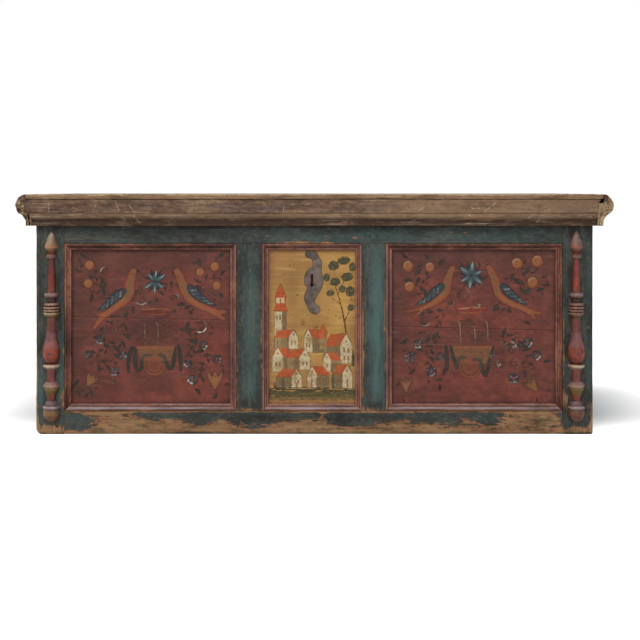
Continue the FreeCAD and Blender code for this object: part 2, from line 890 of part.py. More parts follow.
def strap_nail_places():
    y_tip, y_neck = strap_span()
    z = lid_under - strap_thickness
    grip = strap_thickness + strap_nail_grip
    last = back_inner_y - strap_width / 2
    places = [
        (FreeCAD.Vector(x, y_tip + share * (last - y_tip), z), upward, grip)
        for x in hinge_middles() for share in strap_nail_shares
    ]
    foot_y = staple_back_y() + (staple_foot_length - (staple_back_y() - staple_front_y())) / 2
    for side in (-1, 1):
        x = staple_x + side * staple_foot_width / 4
        places.append((FreeCAD.Vector(x, foot_y, z), upward, grip))
    return places


def strap_nail_holes():
    return [iron_nail_hole(*place) for place in strap_nail_places()]


def escutcheon_nail_places():
    places = []
    for width_share, height_share in escutcheon_nail_shares:
        point = escutcheon_point(width_share, height_share) + outward * escutcheon_thickness
        places.append((point, inward, escutcheon_thickness + escutcheon_nail_grip))
    return places


def escutcheon_nail_holes():
    return [iron_nail_hole(*place) for place in escutcheon_nail_places()]


def lock_nail_places():
    """Corner nails of the lock plate and rivets of the cover's flanges."""
    top, foot = lock_plate_ends()
    half = lock_plate_width / 2 - lock_nail_inset
    grip = lock_plate_thickness + lock_nail_grip
    places = [
        (FreeCAD.Vector(lock_x + side * half, lock_face_y, z), outward, grip)
        for side in (-1, 1) for z in (top - 2 * lock_nail_inset, foot + 2 * lock_nail_inset)
    ]
    low, high = cover_ends()
    flange_middle = cover_width / 2 + cover_flange / 2
    for side in (-1, 1):
        for share in cover_rivet_shares:
            point = FreeCAD.Vector(lock_x + side * flange_middle, lock_face_y + cover_wall,
                                   low + share * (high - low))
            places.append((point, outward, grip + cover_wall))
    return places


def lock_nail_holes():
    return [iron_nail_hole(*place) for place in lock_nail_places()]


# Escutcheon and lock

def escutcheon_point(width_share, height_share):
    left = lock_x + escutcheon_offset - escutcheon_width / 2
    top = opening_top - moulding_width - escutcheon_top_gap
    return FreeCAD.Vector(left + width_share * escutcheon_width, panel_front_y,
                          top - height_share * escutcheon_height)


def escutcheon():
    edges = []
    for run in escutcheon_run_shares:
        curve = Part.BSplineCurve()
        curve.interpolate([escutcheon_point(*share) for share in run])
        edges.append(curve.toShape())
    plate = Part.Face(Part.Wire(edges)).extrude(outward * escutcheon_thickness)
    hole = keyhole_tool(panel_front_y - escutcheon_thickness - cut_overrun, panel_front_y + cut_overrun)
    return plate.cut([hole] + escutcheon_nail_holes())


def lock_plate_ends():
    return body_height - lock_plate_top_gap, keyhole_z - lock_plate_foot


def bolt_guide(x_middle):
    """Strap of the plate over the bolt."""
    gap = bolt_clearance
    low, high = bolt_z - bolt_height / 2, bolt_z + bolt_height / 2
    outer = block(x_middle - guide_length / 2, x_middle + guide_length / 2, lock_face_y,
                  bolt_back_y + gap + guide_wall, low - gap - guide_wall, high + gap + guide_wall)
    room = block(x_middle - guide_length, x_middle + guide_length, lock_face_y, bolt_back_y + gap,
                 low - gap, high + gap)
    return outer.cut(room)


def lock_plate():
    top, foot = lock_plate_ends()
    half, corner = lock_plate_width / 2, lock_plate_corner
    outline = [
        (-half, foot + corner), (-half + corner, foot), (half - corner, foot), (half, foot + corner),
        (half, top), (-half, top),
    ]
    face = polygon_face([FreeCAD.Vector(lock_x + x, frame_back_y, z) for x, z in outline])
    plate = face.extrude(inward * lock_plate_thickness)
    guides = [
        bolt_guide(lock_x + share * (bolt_left_reach if share < 0 else bolt_right_reach))
        for share in guide_offset_shares
    ]
    plate = plate.fuse(guides).removeSplitter()
    hole = keyhole_tool(frame_back_y - cut_overrun, lock_face_y + cut_overrun)
    return plate.cut([hole] + lock_nail_holes())


def cover_ends():
    return keyhole_z - cover_foot, keyhole_z + cover_rise


def lock_cover():
    """Open box over the works, with a slot in its top for the bolt's tail and two nailed flanges."""
    low, high = cover_ends()
    half = cover_width / 2
    back = lock_face_y + cover_depth
    outer = block(lock_x - half, lock_x + half, lock_face_y, back, low, high)
    flanges = block(lock_x - half - cover_flange, lock_x + half + cover_flange,
                    lock_face_y, lock_face_y + cover_wall, low, high)
    hollow = block(lock_x - half + cover_wall, lock_x + half - cover_wall, lock_face_y,
                   back - cover_wall, low + cover_wall, high - cover_wall)
    slot = block(lock_x - bolt_tail_width - 2 * bolt_clearance, lock_x + bolt_travel + 2 * bolt_clearance,
                 lock_face_y, bolt_back_y + 2 * bolt_clearance, high - 2 * cover_wall, high + cut_overrun)
    return outer.fuse(flanges).removeSplitter().cut([hollow, slot] + lock_nail_holes())


def lock_bolt():
    low, high = bolt_z - bolt_height / 2, bolt_z + bolt_height / 2
    bar = block(lock_x - bolt_left_reach, lock_x + bolt_right_reach, bolt_front_y, bolt_back_y, low, high)
    tail = block(lock_x - bolt_tail_width, lock_x, bolt_front_y, bolt_back_y,
                 keyhole_z + bolt_tail_end, high)
    return bar.fuse(tail).removeSplitter()


def lock_spring():
    """Leaf that presses on the bolt, on a stud of the plate."""
    top = bolt_z + bolt_height / 2
    guide_reach = guide_length / 2 + 2 * bolt_clearance
    x_left = lock_x + guide_offset_shares[0] * bolt_left_reach + guide_reach
    x_right = lock_x + guide_offset_shares[1] * bolt_right_reach - guide_reach
    x_stud = x_left + spring_stud
    x_touch = (x_stud + 2 * x_right) / 3
    points = [
        (x_left, top + spring_lift), (x_stud, top + spring_lift), (x_touch, top + bolt_clearance),
        (x_right, top + spring_tip_lift), (x_right, top + spring_tip_lift + spring_leaf),
        (x_touch, top + bolt_clearance + spring_leaf), (x_stud, top + spring_lift + spring_leaf),
        (x_left, top + spring_lift + spring_leaf),
    ]
    face = polygon_face([FreeCAD.Vector(x, bolt_front_y, z) for x, z in points])
    leaf = face.extrude(inward * bolt_thickness)
    stud = block(x_left, x_stud, lock_face_y, bolt_back_y, top + spring_lift,
                 top + spring_lift + spring_stud)
    return leaf.fuse(stud).removeSplitter()


def staple_front_y():
    return lock_face_y + staple_plate_gap


def staple_back_y():
    return bolt_back_y + staple_bolt_gap + staple_wire


def lid_staple():
    """Foot under the lid with a loop that the bolt passes through."""
    foot = block(staple_x - staple_foot_width / 2, staple_x + staple_foot_width / 2,
                 staple_front_y(), staple_front_y() + staple_foot_length,
                 lid_under - strap_thickness, lid_under)
    x_low, x_high = staple_x - staple_thickness / 2, staple_x + staple_thickness / 2
    room_bottom = bolt_z - bolt_height / 2 - staple_bolt_gap
    loop = block(x_low, x_high, staple_front_y(), staple_back_y(), room_bottom - staple_wire, lid_under)
    room = block(x_low - cut_overrun, x_high + cut_overrun, staple_front_y() + staple_wire,
                 staple_back_y() - staple_wire, room_bottom, lid_under - strap_thickness)
    holes = [iron_nail_hole(*place) for place in strap_nail_places()]
    return cut_where_near(loop.cut(room).fuse(foot).removeSplitter(), holes)


def build_front():
    save("front_stile_left", stile(-half_width, left_stile_edge))
    save("front_stile_right", stile(right_stile_edge, half_width))
    save("front_muntin_left", muntin(left_muntin_edge, centre_left))
    save("front_muntin_right", muntin(centre_right, right_muntin_edge))
    save("front_top_rail", rail(opening_top, body_height))
    save("front_bottom_rail", rail(0.0, bottom_rail_height))
    left_opening, centre_opening, right_opening = panel_openings()
    cuts = moulding_pin_holes() + [till_front_blank()]
    upper, lower = split_panel(*left_opening, left_joint_rise, left_joint_fall, cuts)
    save("front_panel_left_upper", upper)
    save("front_panel_left_lower", lower)
    save("front_panel_centre", centre_panel())
    upper, lower = split_panel(*right_opening, right_joint_rise, right_joint_fall, cuts)
    save("front_panel_right_upper", upper)
    save("front_panel_right_lower", lower)
    for place, opening in (("left", left_opening), ("centre", centre_opening), ("right", right_opening)):
        for edge, strip in panel_mouldings(*opening).items():
            save("moulding_" + place + "_" + edge, strip)
    left_middle, right_middle = column_middles()
    save("column_left", column(left_middle))
    save("column_right", column(right_middle))


def build_case():
    for name, side in (("left", -1), ("right", 1)):
        save("side_" + name + "_lower", side_board(side, 0.0, side_joint_height))
        save("side_" + name + "_upper", side_board(side, side_joint_height, body_height))
    save("back_lower", back_board(0.0, back_joint_height))
    save("back_upper", back_board(back_joint_height, body_height))
    front_half, rear_half = bottom_boards()
    save("bottom_front", front_half)
    save("bottom_rear", rear_half)
    save("till_front", till_front())
    save("till_bottom", till_bottom())
    save("till_lid", till_lid())


def build_lid():
    front, rear = lid_boards()
    save("lid_board_front", front)
    save("lid_board_rear", rear)
    save("lid_front_band", front_band())
    save("lid_front_cyma", front_cyma())
    save("lid_end_moulding_left", end_moulding(-1))
    save("lid_end_moulding_right", end_moulding(1))


def build_ironwork():
    save("escutcheon", escutcheon())
    save("lock_plate", lock_plate())
    save("lock_cover", lock_cover())
    save("lock_bolt", lock_bolt())
    save("lock_spring", lock_spring())
    save("lid_staple", lid_staple())
    for name, x_middle in zip(("left", "right"), hinge_middles()):
        save("hinge_strap_" + name, hinge_strap(x_middle))
        save("hinge_leaf_" + name, hinge_leaf(x_middle))
        save("hinge_pin_" + name, hinge_pin(x_middle))


def build_fasteners():
    save("frame_pegs", Part.makeCompound(frame_pegs()))
    wood_nails = [nail(*place, *wood_nail_size()) for place in wood_nail_places()]
    save("wood_nails", Part.makeCompound(wood_nails))
    lid_nails = [nail(*place, *wood_nail_size()) for place in lid_nail_places()]
    save("lid_nails", Part.makeCompound(lid_nails))
    moulding_pins = [nail(*place, *moulding_pin_size()) for place in moulding_pin_places()]
    save("moulding_pins", Part.makeCompound(moulding_pins))
    iron_places = escutcheon_nail_places() + lock_nail_places() + leaf_nail_places()
    save("ironwork_nails", Part.makeCompound([iron_nail(*place) for place in iron_places]))
    save("strap_nails", Part.makeCompound([iron_nail(*place) for place in strap_nail_places()]))


build_front()
build_case()
build_lid()
build_ironwork()
build_fasteners()
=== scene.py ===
import bmesh
import bpy
import math
import numpy as np
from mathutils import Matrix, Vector, kdtree


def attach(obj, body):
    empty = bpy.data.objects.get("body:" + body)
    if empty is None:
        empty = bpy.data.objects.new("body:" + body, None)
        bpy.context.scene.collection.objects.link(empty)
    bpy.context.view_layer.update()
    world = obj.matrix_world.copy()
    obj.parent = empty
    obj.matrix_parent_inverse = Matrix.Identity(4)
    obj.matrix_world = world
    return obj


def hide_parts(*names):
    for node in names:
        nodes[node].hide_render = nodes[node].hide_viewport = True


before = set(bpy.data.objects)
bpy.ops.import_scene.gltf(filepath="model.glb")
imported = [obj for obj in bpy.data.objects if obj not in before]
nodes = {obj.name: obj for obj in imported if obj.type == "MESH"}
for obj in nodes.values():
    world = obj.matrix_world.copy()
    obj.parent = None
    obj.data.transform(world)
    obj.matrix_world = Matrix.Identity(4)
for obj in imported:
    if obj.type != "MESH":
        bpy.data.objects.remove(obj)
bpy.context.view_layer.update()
mm = 0.001
print("frame loaded with", len(nodes), "nodes")

# Planes of the chest in millimetres, as in the CAD
chest = {
    "frontY": -288.0, "frameBackY": -258.0, "panelY": -274.0, "panelBackY": -262.0, "backInnerY": 264.0,
    "rearY": 289.0, "halfWidth": 777.0, "sideInner": 752.0, "bodyTop": 648.0, "openingLow": 65.0,
    "openingHigh": 532.0, "groove": 8.0, "leftOpening": (-698.0, -218.0), "centreOpening": (-146.0, 132.0),
    "rightOpening": (199.0, 692.0), "sideJoint": 322.0, "backJoint": 338.0,
}


# Repeatable noise for shapes and for laying on paint

def cellValues(cell, seed):
    n = cell[:, 0] * 73856093 ^ cell[:, 1] * 19349663 ^ cell[:, 2] * 83492791 ^ seed * 15485863
    n = ((n ^ (n >> 13)) * 1274126177) & 0x7FFFFFFF
    n = ((n ^ (n >> 15)) * 668265263) & 0x7FFFFFFF
    return ((n >> 8) & 0xFFFF) / 65535


def smoothNoise(points, seed):
    cell = np.floor(points).astype(np.int64)
    part = points - cell
    part = part * part * (3 - 2 * part)
    total = np.zeros(len(points))
    for corner in range(8):
        step = np.array([corner & 1, corner >> 1 & 1, corner >> 2 & 1])
        weight = np.prod(np.where(step == 1, part, 1 - part), axis=1)
        total += weight * cellValues(cell + step, seed)
    return total * 2 - 1


def layered(points, size, seed, layers=3, pull=(1, 1, 1)):
    # noise from -1 to 1 whose largest spots are size mm across, drawn out by pull along each axis
    total, strength, whole = np.zeros(len(points)), 1.0, 0.0
    scaled = points / (size * np.array(pull, float)) + seed * 7.31
    for layer in range(layers):
        total += strength * smoothNoise(scaled, seed * 13 + layer)
        whole += strength
        strength *= 0.55
        scaled = scaled * 2.03
    return total / whole


# Meshes

def makeObject(name, points, faces, body, replaced, sharpAngle=48):
    mesh = bpy.data.meshes.new(name)
    mesh.from_pydata((points * mm).tolist(), [], faces)
    work = bmesh.new()
    work.from_mesh(mesh)
    bmesh.ops.recalc_face_normals(work, faces=work.faces)
    work.to_mesh(mesh)
    work.free()
    mesh.shade_smooth()
    mesh.set_sharp_from_angle(angle=math.radians(sharpAngle))
    piece = bpy.data.objects.new(name, mesh)
    bpy.context.scene.collection.objects.link(piece)
    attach(piece, body)
    if replaced:
        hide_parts(*replaced)
    return piece


def keepValues(piece, name, values):
    kind, field = {1: ("FLOAT", "value"), 3: ("FLOAT_VECTOR", "vector"),
                   4: ("FLOAT_COLOR", "color")}[1 if values.ndim == 1 else values.shape[1]]
    layer = piece.data.attributes.new(name, kind, "POINT")
    layer.data.foreach_set(field, np.ascontiguousarray(values, np.float32).ravel())


def linearColour(colour):
    # colours are written as 0 to 255 and shaders want them linear
    share = np.asarray(colour, float) / 255
    return np.where(share <= 0.04045, share / 12.92, ((share + 0.055) / 1.055) ** 2.4)


def keepColours(piece, name, colours):
    linear = linearColour(colours)
    keepValues(piece, name, np.hstack([linear, np.ones((len(linear), 1))]))


def spread(length, gap, near=(0.7, 2.0, 4.5)):
    # distances along a side, closer together towards both ends
    near = [step for step in near if step < length * 0.3]
    inner = near[-1] if near else 0.0
    count = max(1, round((length - 2 * inner) / gap))
    middle = np.linspace(inner, length - inner, count + 1)
    every = np.concatenate([[0.0], near, middle, length - np.array(near), [length]])
    return np.unique(np.round(every, 4))


def arcThrough(a, b, c, gap):
    # points after a, up to c, on the arc through b
    (ax, ay), (bx, by), (cx, cy) = a, b, c
    d = 2 * (ax * (by - cy) + bx * (cy - ay) + cx * (ay - by))
    if abs(d) < 1e-6:
        return [b, c]
    a2, b2, c2 = ax * ax + ay * ay, bx * bx + by * by, cx * cx + cy * cy
    ox = (a2 * (by - cy) + b2 * (cy - ay) + c2 * (ay - by)) / d
    oy = (a2 * (cx - bx) + b2 * (ax - cx) + c2 * (bx - ax)) / d
    first, through, last = (math.atan2(y - oy, x - ox) for x, y in (a, b, c))
    turn = (last - first) % math.tau
    if (through - first) % math.tau > turn:
        turn -= math.tau
    radius = math.hypot(ax - ox, ay - oy)
    count = max(3, math.ceil(abs(turn) * radius / gap))
    return [(ox + radius * math.cos(first + turn * k / count), oy + radius * math.sin(first + turn * k / count))
            for k in range(1, count + 1)]


def outlinePoints(start, runs, gap=0.8):
    # a start point and runs of (end,) lines or (through, end) arcs
    points = [start]
    for run in runs:
        points += [run[0]] if len(run) == 1 else arcThrough(points[-1], run[0], run[1], gap)
    return points


def densePath(points, gap):
    # the same closed outline with points added along its longer sides
    dense = []
    for a, b in zip(points, points[1:] + points[:1]):
        a, b = np.array(a, float), np.array(b, float)
        length = np.linalg.norm(b - a)
        for distance in (spread(length, gap)[:-1] if length > 1.6 else [0.0]):
            dense.append(a + (b - a) * distance / max(length, 1e-9))
    return np.array(dense)


def outwardNormals(profile):
    ahead, behind = np.roll(profile, -1, 0), np.roll(profile, 1, 0)
    along = ahead - behind
    normal = np.stack([along[:, 1], -along[:, 0]], 1)
    area = np.sum(profile[:, 0] * ahead[:, 1] - ahead[:, 0] * profile[:, 1])
    normal *= 1 if area > 0 else -1
    return normal / np.maximum(np.linalg.norm(normal, axis=1, keepdims=True), 1e-9)


def crestOf(profile, normals, reach=4.0):
    # how far each point of a closed outline stands out: 1 on a square corner, 0 on a flat, below 0 in a hollow
    steps = np.linalg.norm(np.roll(profile, -1, 0) - profile, axis=1)
    at = np.concatenate([[0.0], np.cumsum(steps)])
    whole = at[-1]
    laps = np.concatenate([at[:-1] - whole, at[:-1], at[:-1] + whole])
    sides = []
    for shift in (-reach, reach):
        places = [np.interp(at[:-1] + shift, laps, np.tile(profile[:, k], 3)) for k in (0, 1)]
        sides.append(np.stack(places, 1))
    proud = np.sum((profile - (sides[0] + sides[1]) / 2) * normals, axis=1)
    return np.clip(proud / (0.7 * reach), -1, 1)


def ringFaces(order):
    # quads between neighbouring rows of closed rings, and a face over each end
    here, there = order[:-1], order[1:]
    quads = np.stack([here, np.roll(here, -1, 1), np.roll(there, -1, 1), there], -1).reshape(-1, 4)
    return quads.tolist() + [order[0][::-1].tolist(), order[-1].tolist()]


capInset = 0.5  # how narrow the rim at a swept piece's ends is


def sweptPiece(name, profile, length, place, look, body="case", replaced=(), trim=None, extra=()):
    # a closed outline (u, v) carried along the piece: place(u, v, share) gives its x, y, z in mm
    profile = np.asarray(profile, float)
    normals = outwardNormals(profile)
    relief = crestOf(profile, normals, look.get("reach", 4.0))
    at = spread(length, look["gap"], (0.6, 1.6, 4.0, 8.0))
    if len(extra):
        at = np.unique(np.concatenate([at, extra]))
    share = at / length
    stations, ring = len(at), len(profile)
    u, v, t = (np.broadcast_to(a, (stations, ring)).ravel() for a in
               (profile[None, :, 0], profile[None, :, 1], share[:, None]))
    nu, nv, relief = (np.broadcast_to(a[None, :], (stations, ring)).ravel() for a in
                      (normals[:, 0], normals[:, 1], relief))
    crest, hollow = np.clip(relief, 0, 1), np.clip(-relief * 2.0, 0, 1)
    points = place(u, v, t)
    outward = place(u + nu * 0.1, v + nv * 0.1, t) - points
    outward /= np.maximum(np.linalg.norm(outward, axis=1, keepdims=True), 1e-9)
    toEnd = np.minimum(t, 1 - t) * length
    seed = look["seed"]
    broad = layered(points, look.get("chipSize", 38), seed, 3)
    small = layered(points, 9, seed + 1, 2)
    bite = np.clip(broad * 0.75 + small * 0.5 - look.get("hold", 0.28), 0, 1)
    cut = crest * (look["ease"] * (0.8 + 0.4 * small) + look["chip"] * bite * 1.9)
    cut += look["wave"] * (0.5 + 0.5 * layered(points, 70, seed + 2, 2, look.get("wavePull", (1, 1, 1))))
    cut += np.clip(1 - toEnd / 1.4, 0, 1) * look.get("endEase", 0.45)
    cut += np.clip(1 - toEnd / 9, 0, 1) * look.get("endChip", 0.0) * np.clip(small + 0.15, 0, 1)
    points = points - outward * cut[:, None]
    if trim:
        points = trim(points)
    # each end is closed inside a narrow rim, so its own tones don't run into the sides
    index = np.arange(stations * ring).reshape(stations, ring)
    rims = np.concatenate([index[0], index[-1]])
    caps = np.arange(2 * ring).reshape(2, ring) + stations * ring
    points = np.vstack([points, points[rims] - outward[rims] * capInset])
    faces = ringFaces(np.vstack([caps[:1], index, caps[1:]]))
    piece = makeObject(name, points, faces, body, replaced)

    def whole(values, atCap):
        return np.concatenate([values, np.full(2 * ring, float(atCap))])

    def spots(key):
        amount = np.zeros(len(points))
        for x, z, reachX, reachZ, most in look.get(key, ()):
            amount += most * np.exp(-((points[:, 0] - x) / reachX) ** 2 - ((points[:, 2] - z) / reachZ) ** 2)
        return amount

    worn = look.get("worn", 0.0) + (bite * 0.5 + look.get("crestWear", 0.0)) * crest
    for direction in look.get("bareSides", ()):
        worn = np.where(outward @ np.array(direction, float) > 0.75, 1.5, worn)
    # faces turned along sheenSides get a paler tone: a painted sheen
    freshAndSheen = np.zeros(stations * ring)
    for direction, most in look.get("sheenSides", ()):
        freshAndSheen += most * np.clip(outward @ np.array(direction, float), 0, 1) ** 2
    grainAt = np.stack([t * length, u, v], 1)
    keepValues(piece, "worn", whole(worn, look.get("capWorn", 1.2)) + spots("wornSpots"))
    keepValues(piece, "crest", whole(crest, 0))
    keepValues(piece, "freshAndSheen", np.clip(whole(freshAndSheen, 0) + spots("freshAndSheenSpots"), 0, 1.5))
    # dirtAndShade: painted shade in the section's hollows, more at the ends, and dirtAndShadeSpots, which hold dirt
    # and painted shadows
    keepValues(piece, "dirtAndShade", np.clip(whole(hollow * 0.8, look.get("capGrime", 0.4))
                                       + spots("dirtAndShadeSpots"), 0, 1.5))
    keepValues(piece, "grain", np.vstack([grainAt, grainAt[rims]]) * mm + seed * np.array([0.713, 0.317, 0.531]))
    piece.data.materials.append(look["finish"])
    return piece


def boardPiece(name, low, high, along, look, body="case", replaced=None, **more):
    # a rectangular board from corner to corner, its grain along x (0), y (1) or z (2)
    cross = [axis for axis in (0, 1, 2) if axis != along]
    width, depth = high[cross[0]] - low[cross[0]], high[cross[1]] - low[cross[1]]
    corners = [(0.0, 0.0), (width, 0.0), (width, depth), (0.0, depth)]
    profile = densePath(corners, look.get("sideGap", look["gap"]))
    length = high[along] - low[along]

    def place(u, v, t):
        spot = np.zeros((len(u), 3))
        spot[:, cross[0]] = low[cross[0]] + u
        spot[:, cross[1]] = low[cross[1]] + v
        spot[:, along] = low[along] + t * length
        return spot

    return sweptPiece(name + "_wood", profile, length, place, look, body, replaced or (name,), **more)


# Materials

def tone(red, green, blue):
    return tuple(float(c) for c in linearColour((red, green, blue))) + (1.0,)


class Finish:
    # the shader nodes of a new material, or of the world handed in
    def __init__(self, name, owner=None):
        self.owner = owner or bpy.data.materials.new(name)
        self.owner.use_nodes = True
        self.tree = self.owner.node_tree
        self.tree.nodes.clear()

    def put(self, kind, inputs, **settings):
        node = self.tree.nodes.new("ShaderNode" + kind)
        for key, value in settings.items():
            setattr(node, key, value)
        for key, value in inputs.items():
            if isinstance(value, bpy.types.NodeSocket):
                self.tree.links.new(value, node.inputs[key])
            else:
                node.inputs[key].default_value = value
        return node

    def value(self, name, kind="Fac"):
        return self.put("Attribute", {}, attribute_name=name).outputs[kind]

    def colour(self, name):
        return self.value(name, "Color")

    def grain(self):
        return self.value("grain", "Vector")

    def place(self):
        return self.put("TexCoord", {}).outputs["Object"]

    def vectors(self, kind, *values, out=0):
        return self.put("VectorMath", dict(enumerate(values)), operation=kind).outputs[out]

    def pulled(self, vector, x, y, z):
        return self.vectors("MULTIPLY", vector, (x, y, z))

    def noise(self, vector, scale, detail=4.0, rough=0.55, twist=0.0):
        return self.put("TexNoise", {"Vector": vector, "Scale": scale, "Detail": detail, "Roughness": rough,
                                     "Distortion": twist}).outputs["Fac"]

    def drawn(self, vector, along, across, detail, rough, twist=0.0):
        # noise drawn out along the grain
        return self.noise(self.pulled(vector, along, across, across), 1.0, detail, rough, twist)

    def cells(self, vector, scale, feature="F1"):
        return self.put("TexVoronoi", {"Vector": vector, "Scale": scale}, feature=feature).outputs["Distance"]

    def between(self, value, low, high, least=0.0, most=1.0):
        return self.put("MapRange", {0: value, 1: low, 2: high, 3: least, 4: most},
                        interpolation_type="SMOOTHSTEP").outputs[0]

    def sums(self, kind, a, b):
        return self.put("Math", {0: a, 1: b}, operation=kind).outputs[0]

    def times(self, a, b):
        return self.sums("MULTIPLY", a, b)

    def plus(self, total, *parts):
        # adds values, or (value, share) pairs, one after another
        for part in parts:
            total = self.sums("ADD", total, self.times(*part) if isinstance(part, tuple) else part)
        return total

    def tinted(self, colour, value, low, high, most, over):
        # the colour over, laid on where value runs from low to high
        return self.mix(self.between(value, low, high, 0.0, most), colour, over)

    def mix(self, share, a, b, kind="MIX"):
        node = self.put("Mix", {0: share, 6: a, 7: b}, data_type="RGBA", blend_type=kind)
        return node.outputs[2]

    def ramp(self, share, *stops):
        node = self.put("ValToRGB", {0: share})
        elements = node.color_ramp.elements
        elements[0].position, elements[0].color = stops[0]
        elements[1].position, elements[1].color = stops[-1]
        for position, colour in stops[1:-1]:
            elements.new(position).color = colour
        return node.outputs[0]

    def bump(self, height, distance, strength):
        return self.put("Bump", {"Height": height, "Distance": distance, "Strength": strength}).outputs[0]

    def dress(self, colour, roughness, normal, specular=0.5, metal=0.0):
        shader = self.put("BsdfPrincipled", {"Base Color": colour, "Roughness": roughness, "Normal": normal,
                                             "Specular IOR Level": specular, "Metallic": metal})
        self.put("OutputMaterial", {0: shader.outputs[0]})
        return self.owner


def woodTones(finish, grain, light, dark, knots=0.0):
    # pale and dark year lines drawn out along the grain, with long darker streaks
    lines = finish.drawn(grain, 5, 160, 5.0, 0.62, 0.35)
    streak = finish.drawn(grain, 2.2, 24, 4.0, 0.6, 0.6)
    colour = finish.ramp(lines, (0.28, dark), (0.52, light), (0.78, dark))
    colour = finish.tinted(colour, streak, 0.45, 0.75, 1.0, dark)
    if knots:
        spots = finish.cells(finish.pulled(grain, 2.6, 5.5, 5.5), 1.0)
        colour = finish.tinted(colour, spots, 0.12, 0.03, knots, tone(78, 46, 26))
    return colour, lines, streak


def strokeMark(finish, place, start, end, width, rough):
    # how near a point is to a thin scratch from start to end (x, z in mm), ragged by rough
    a = np.array([start[0], 0, start[1]]) * mm
    d = np.array([end[0], 0, end[1]]) * mm - a
    past = finish.vectors("SUBTRACT", finish.pulled(place, 1, 0, 1), tuple(a))
    share = finish.vectors("DOT_PRODUCT", past, tuple(d / (d @ d)), out="Value")
    share = finish.put("Clamp", {0: share}).outputs[0]
    along = finish.put("VectorMath", {0: tuple(d), "Scale": share}, operation="SCALE").outputs[0]
    away = finish.vectors("DISTANCE", past, along, out="Value")
    edge = finish.plus(away, (rough, width * mm * 2.4))
    return finish.between(edge, width * mm * 1.6, width * mm * 0.9)


def toned(look):
    # the same values with each red, green, blue triple made a shader colour
    return {key: tone(*value) if isinstance(value, tuple) and len(value) == 3 and not isinstance(value[0], tuple)
            else value for key, value in look.items()}


# what a coat of paint has unless its own dictionary says otherwise
paintLook = {
    "zones": (), "marks": (), "streak": 0.5, "mottle": 0.5, "warm": 0.0, "crestLoss": 0.22, "shred": 0.5,
    "underAt": 0.86, "bareAt": 0.95, "dirt": 0.5, "scratch": 0.5, "bump": 0.75, "shine": 0.50, "specular": 0.16,
}


def painted(name, look):
    # old paint on wood: coat with other tones in patches, undercoat at its broken edges, bare wood, dirt, painted
    # shade and sheen, scratches
    look = toned({"woodTint": look["woodDark"], **paintLook, **look})
    finish = Finish(name)
    grain = finish.grain()
    worn, crest = finish.value("worn"), finish.value("crest")
    broad = finish.noise(grain, 6.0, 5.0, 0.6)
    streak = finish.drawn(grain, 7, 95, 5.0, 0.65, 0.2)
    flakes = finish.drawn(grain, 34, 88, 6.0, 0.68, 0.5)
    specks = finish.noise(grain, 260.0, 3.0, 0.6)
    coat = finish.ramp(broad, (0.36, look["coatDark"]), (0.50, look["coat"]), (0.64, look["coatLight"]))
    for (along, across), low, high, most, colour in look["zones"]:
        coat = finish.tinted(coat, finish.drawn(grain, along, across, 5.0, 0.7, 0.4), low, high, most, tone(*colour))
    mottle = finish.drawn(grain, 60, 110, 4.0, 0.65)
    coat = finish.tinted(coat, streak, 0.50, 0.66, look["streak"], look["coatDark"])
    coat = finish.tinted(coat, mottle, 0.50, 0.62, look["mottle"], look["coatDark"])
    coat = finish.tinted(coat, mottle, 0.46, 0.36, look["mottle"], look["coatLight"])
    # paler paint where the freshAndSheen values say: fresher patches, and on the mouldings a painted sheen
    coat = finish.mix(finish.times(finish.value("freshAndSheen"), finish.between(streak, 0.34, 0.56, 0.45, 1.0)), coat,
                      look["freshAndSheen"])
    wood, lines, _ = woodTones(finish, grain, look["wood"], look["woodDark"])
    wood = finish.tinted(wood, finish.drawn(grain, 9, 36, 4.0, 0.7), 0.50, 0.66, 0.7, look["woodTint"])
    warm = finish.drawn(grain, 26, 80, 5.0, 0.72)
    wood = finish.tinted(wood, warm, 0.52, 0.62, look["warm"], look["under"])
    wood = finish.tinted(wood, warm, 0.47, 0.38, look["warm"], look["woodSpeck"])
    shreds = finish.drawn(grain, 34, 230, 4.0, 0.7, 0.6)
    loss = finish.plus(worn, (crest, look["crestLoss"]), (flakes, 0.85), (broad, 0.35),
                       (finish.sums("SUBTRACT", shreds, 0.5), look["shred"]))
    under = finish.between(loss, look["underAt"], look["underAt"] + 0.03)
    bare = finish.between(loss, look["bareAt"], look["bareAt"] + 0.05)
    colour = finish.mix(under, coat, finish.mix(finish.between(specks, 0.35, 0.62), look["under"], look["underDark"]))
    colour = finish.mix(bare, colour, wood)
    # random dirt, and where the dirtAndShade values say, dirt and painted shade
    dirt = finish.drawn(grain, 11, 40, 6.0, 0.7)
    dirtAndShadeShare = finish.plus(finish.between(dirt, 0.50, 0.68, 0.0, look["dirt"]),
                            (finish.value("dirtAndShade"), finish.between(dirt, 0.34, 0.54)))
    colour = finish.mix(dirtAndShadeShare, colour, look["dirtAndShade"])
    scratches = finish.between(finish.drawn(grain, 2.6, 420, 2.0, 0.4, 1.3), 0.66, 0.70, 0.0, look["scratch"])
    scratches = finish.times(scratches, finish.between(broad, 0.42, 0.56))
    for start, end, width in look["marks"]:
        mark = strokeMark(finish, finish.place(), start, end, width, specks)
        scratches = finish.sums("MAXIMUM", scratches, finish.times(mark, 0.9))
    colour = finish.mix(scratches, colour, look["scratchTone"])
    height = finish.plus(finish.times(under, -0.5), (bare, -0.3), (lines, finish.between(bare, 0, 1, 0.10, 0.55)),
                         (streak, 0.55), (specks, 0.12))
    shine = finish.plus(finish.between(bare, 0, 1, look["shine"], 0.78), (finish.noise(grain, 45.0, 3.0), 0.16))
    return finish.dress(colour, shine, finish.bump(height, 0.0011, look["bump"]), look["specular"])


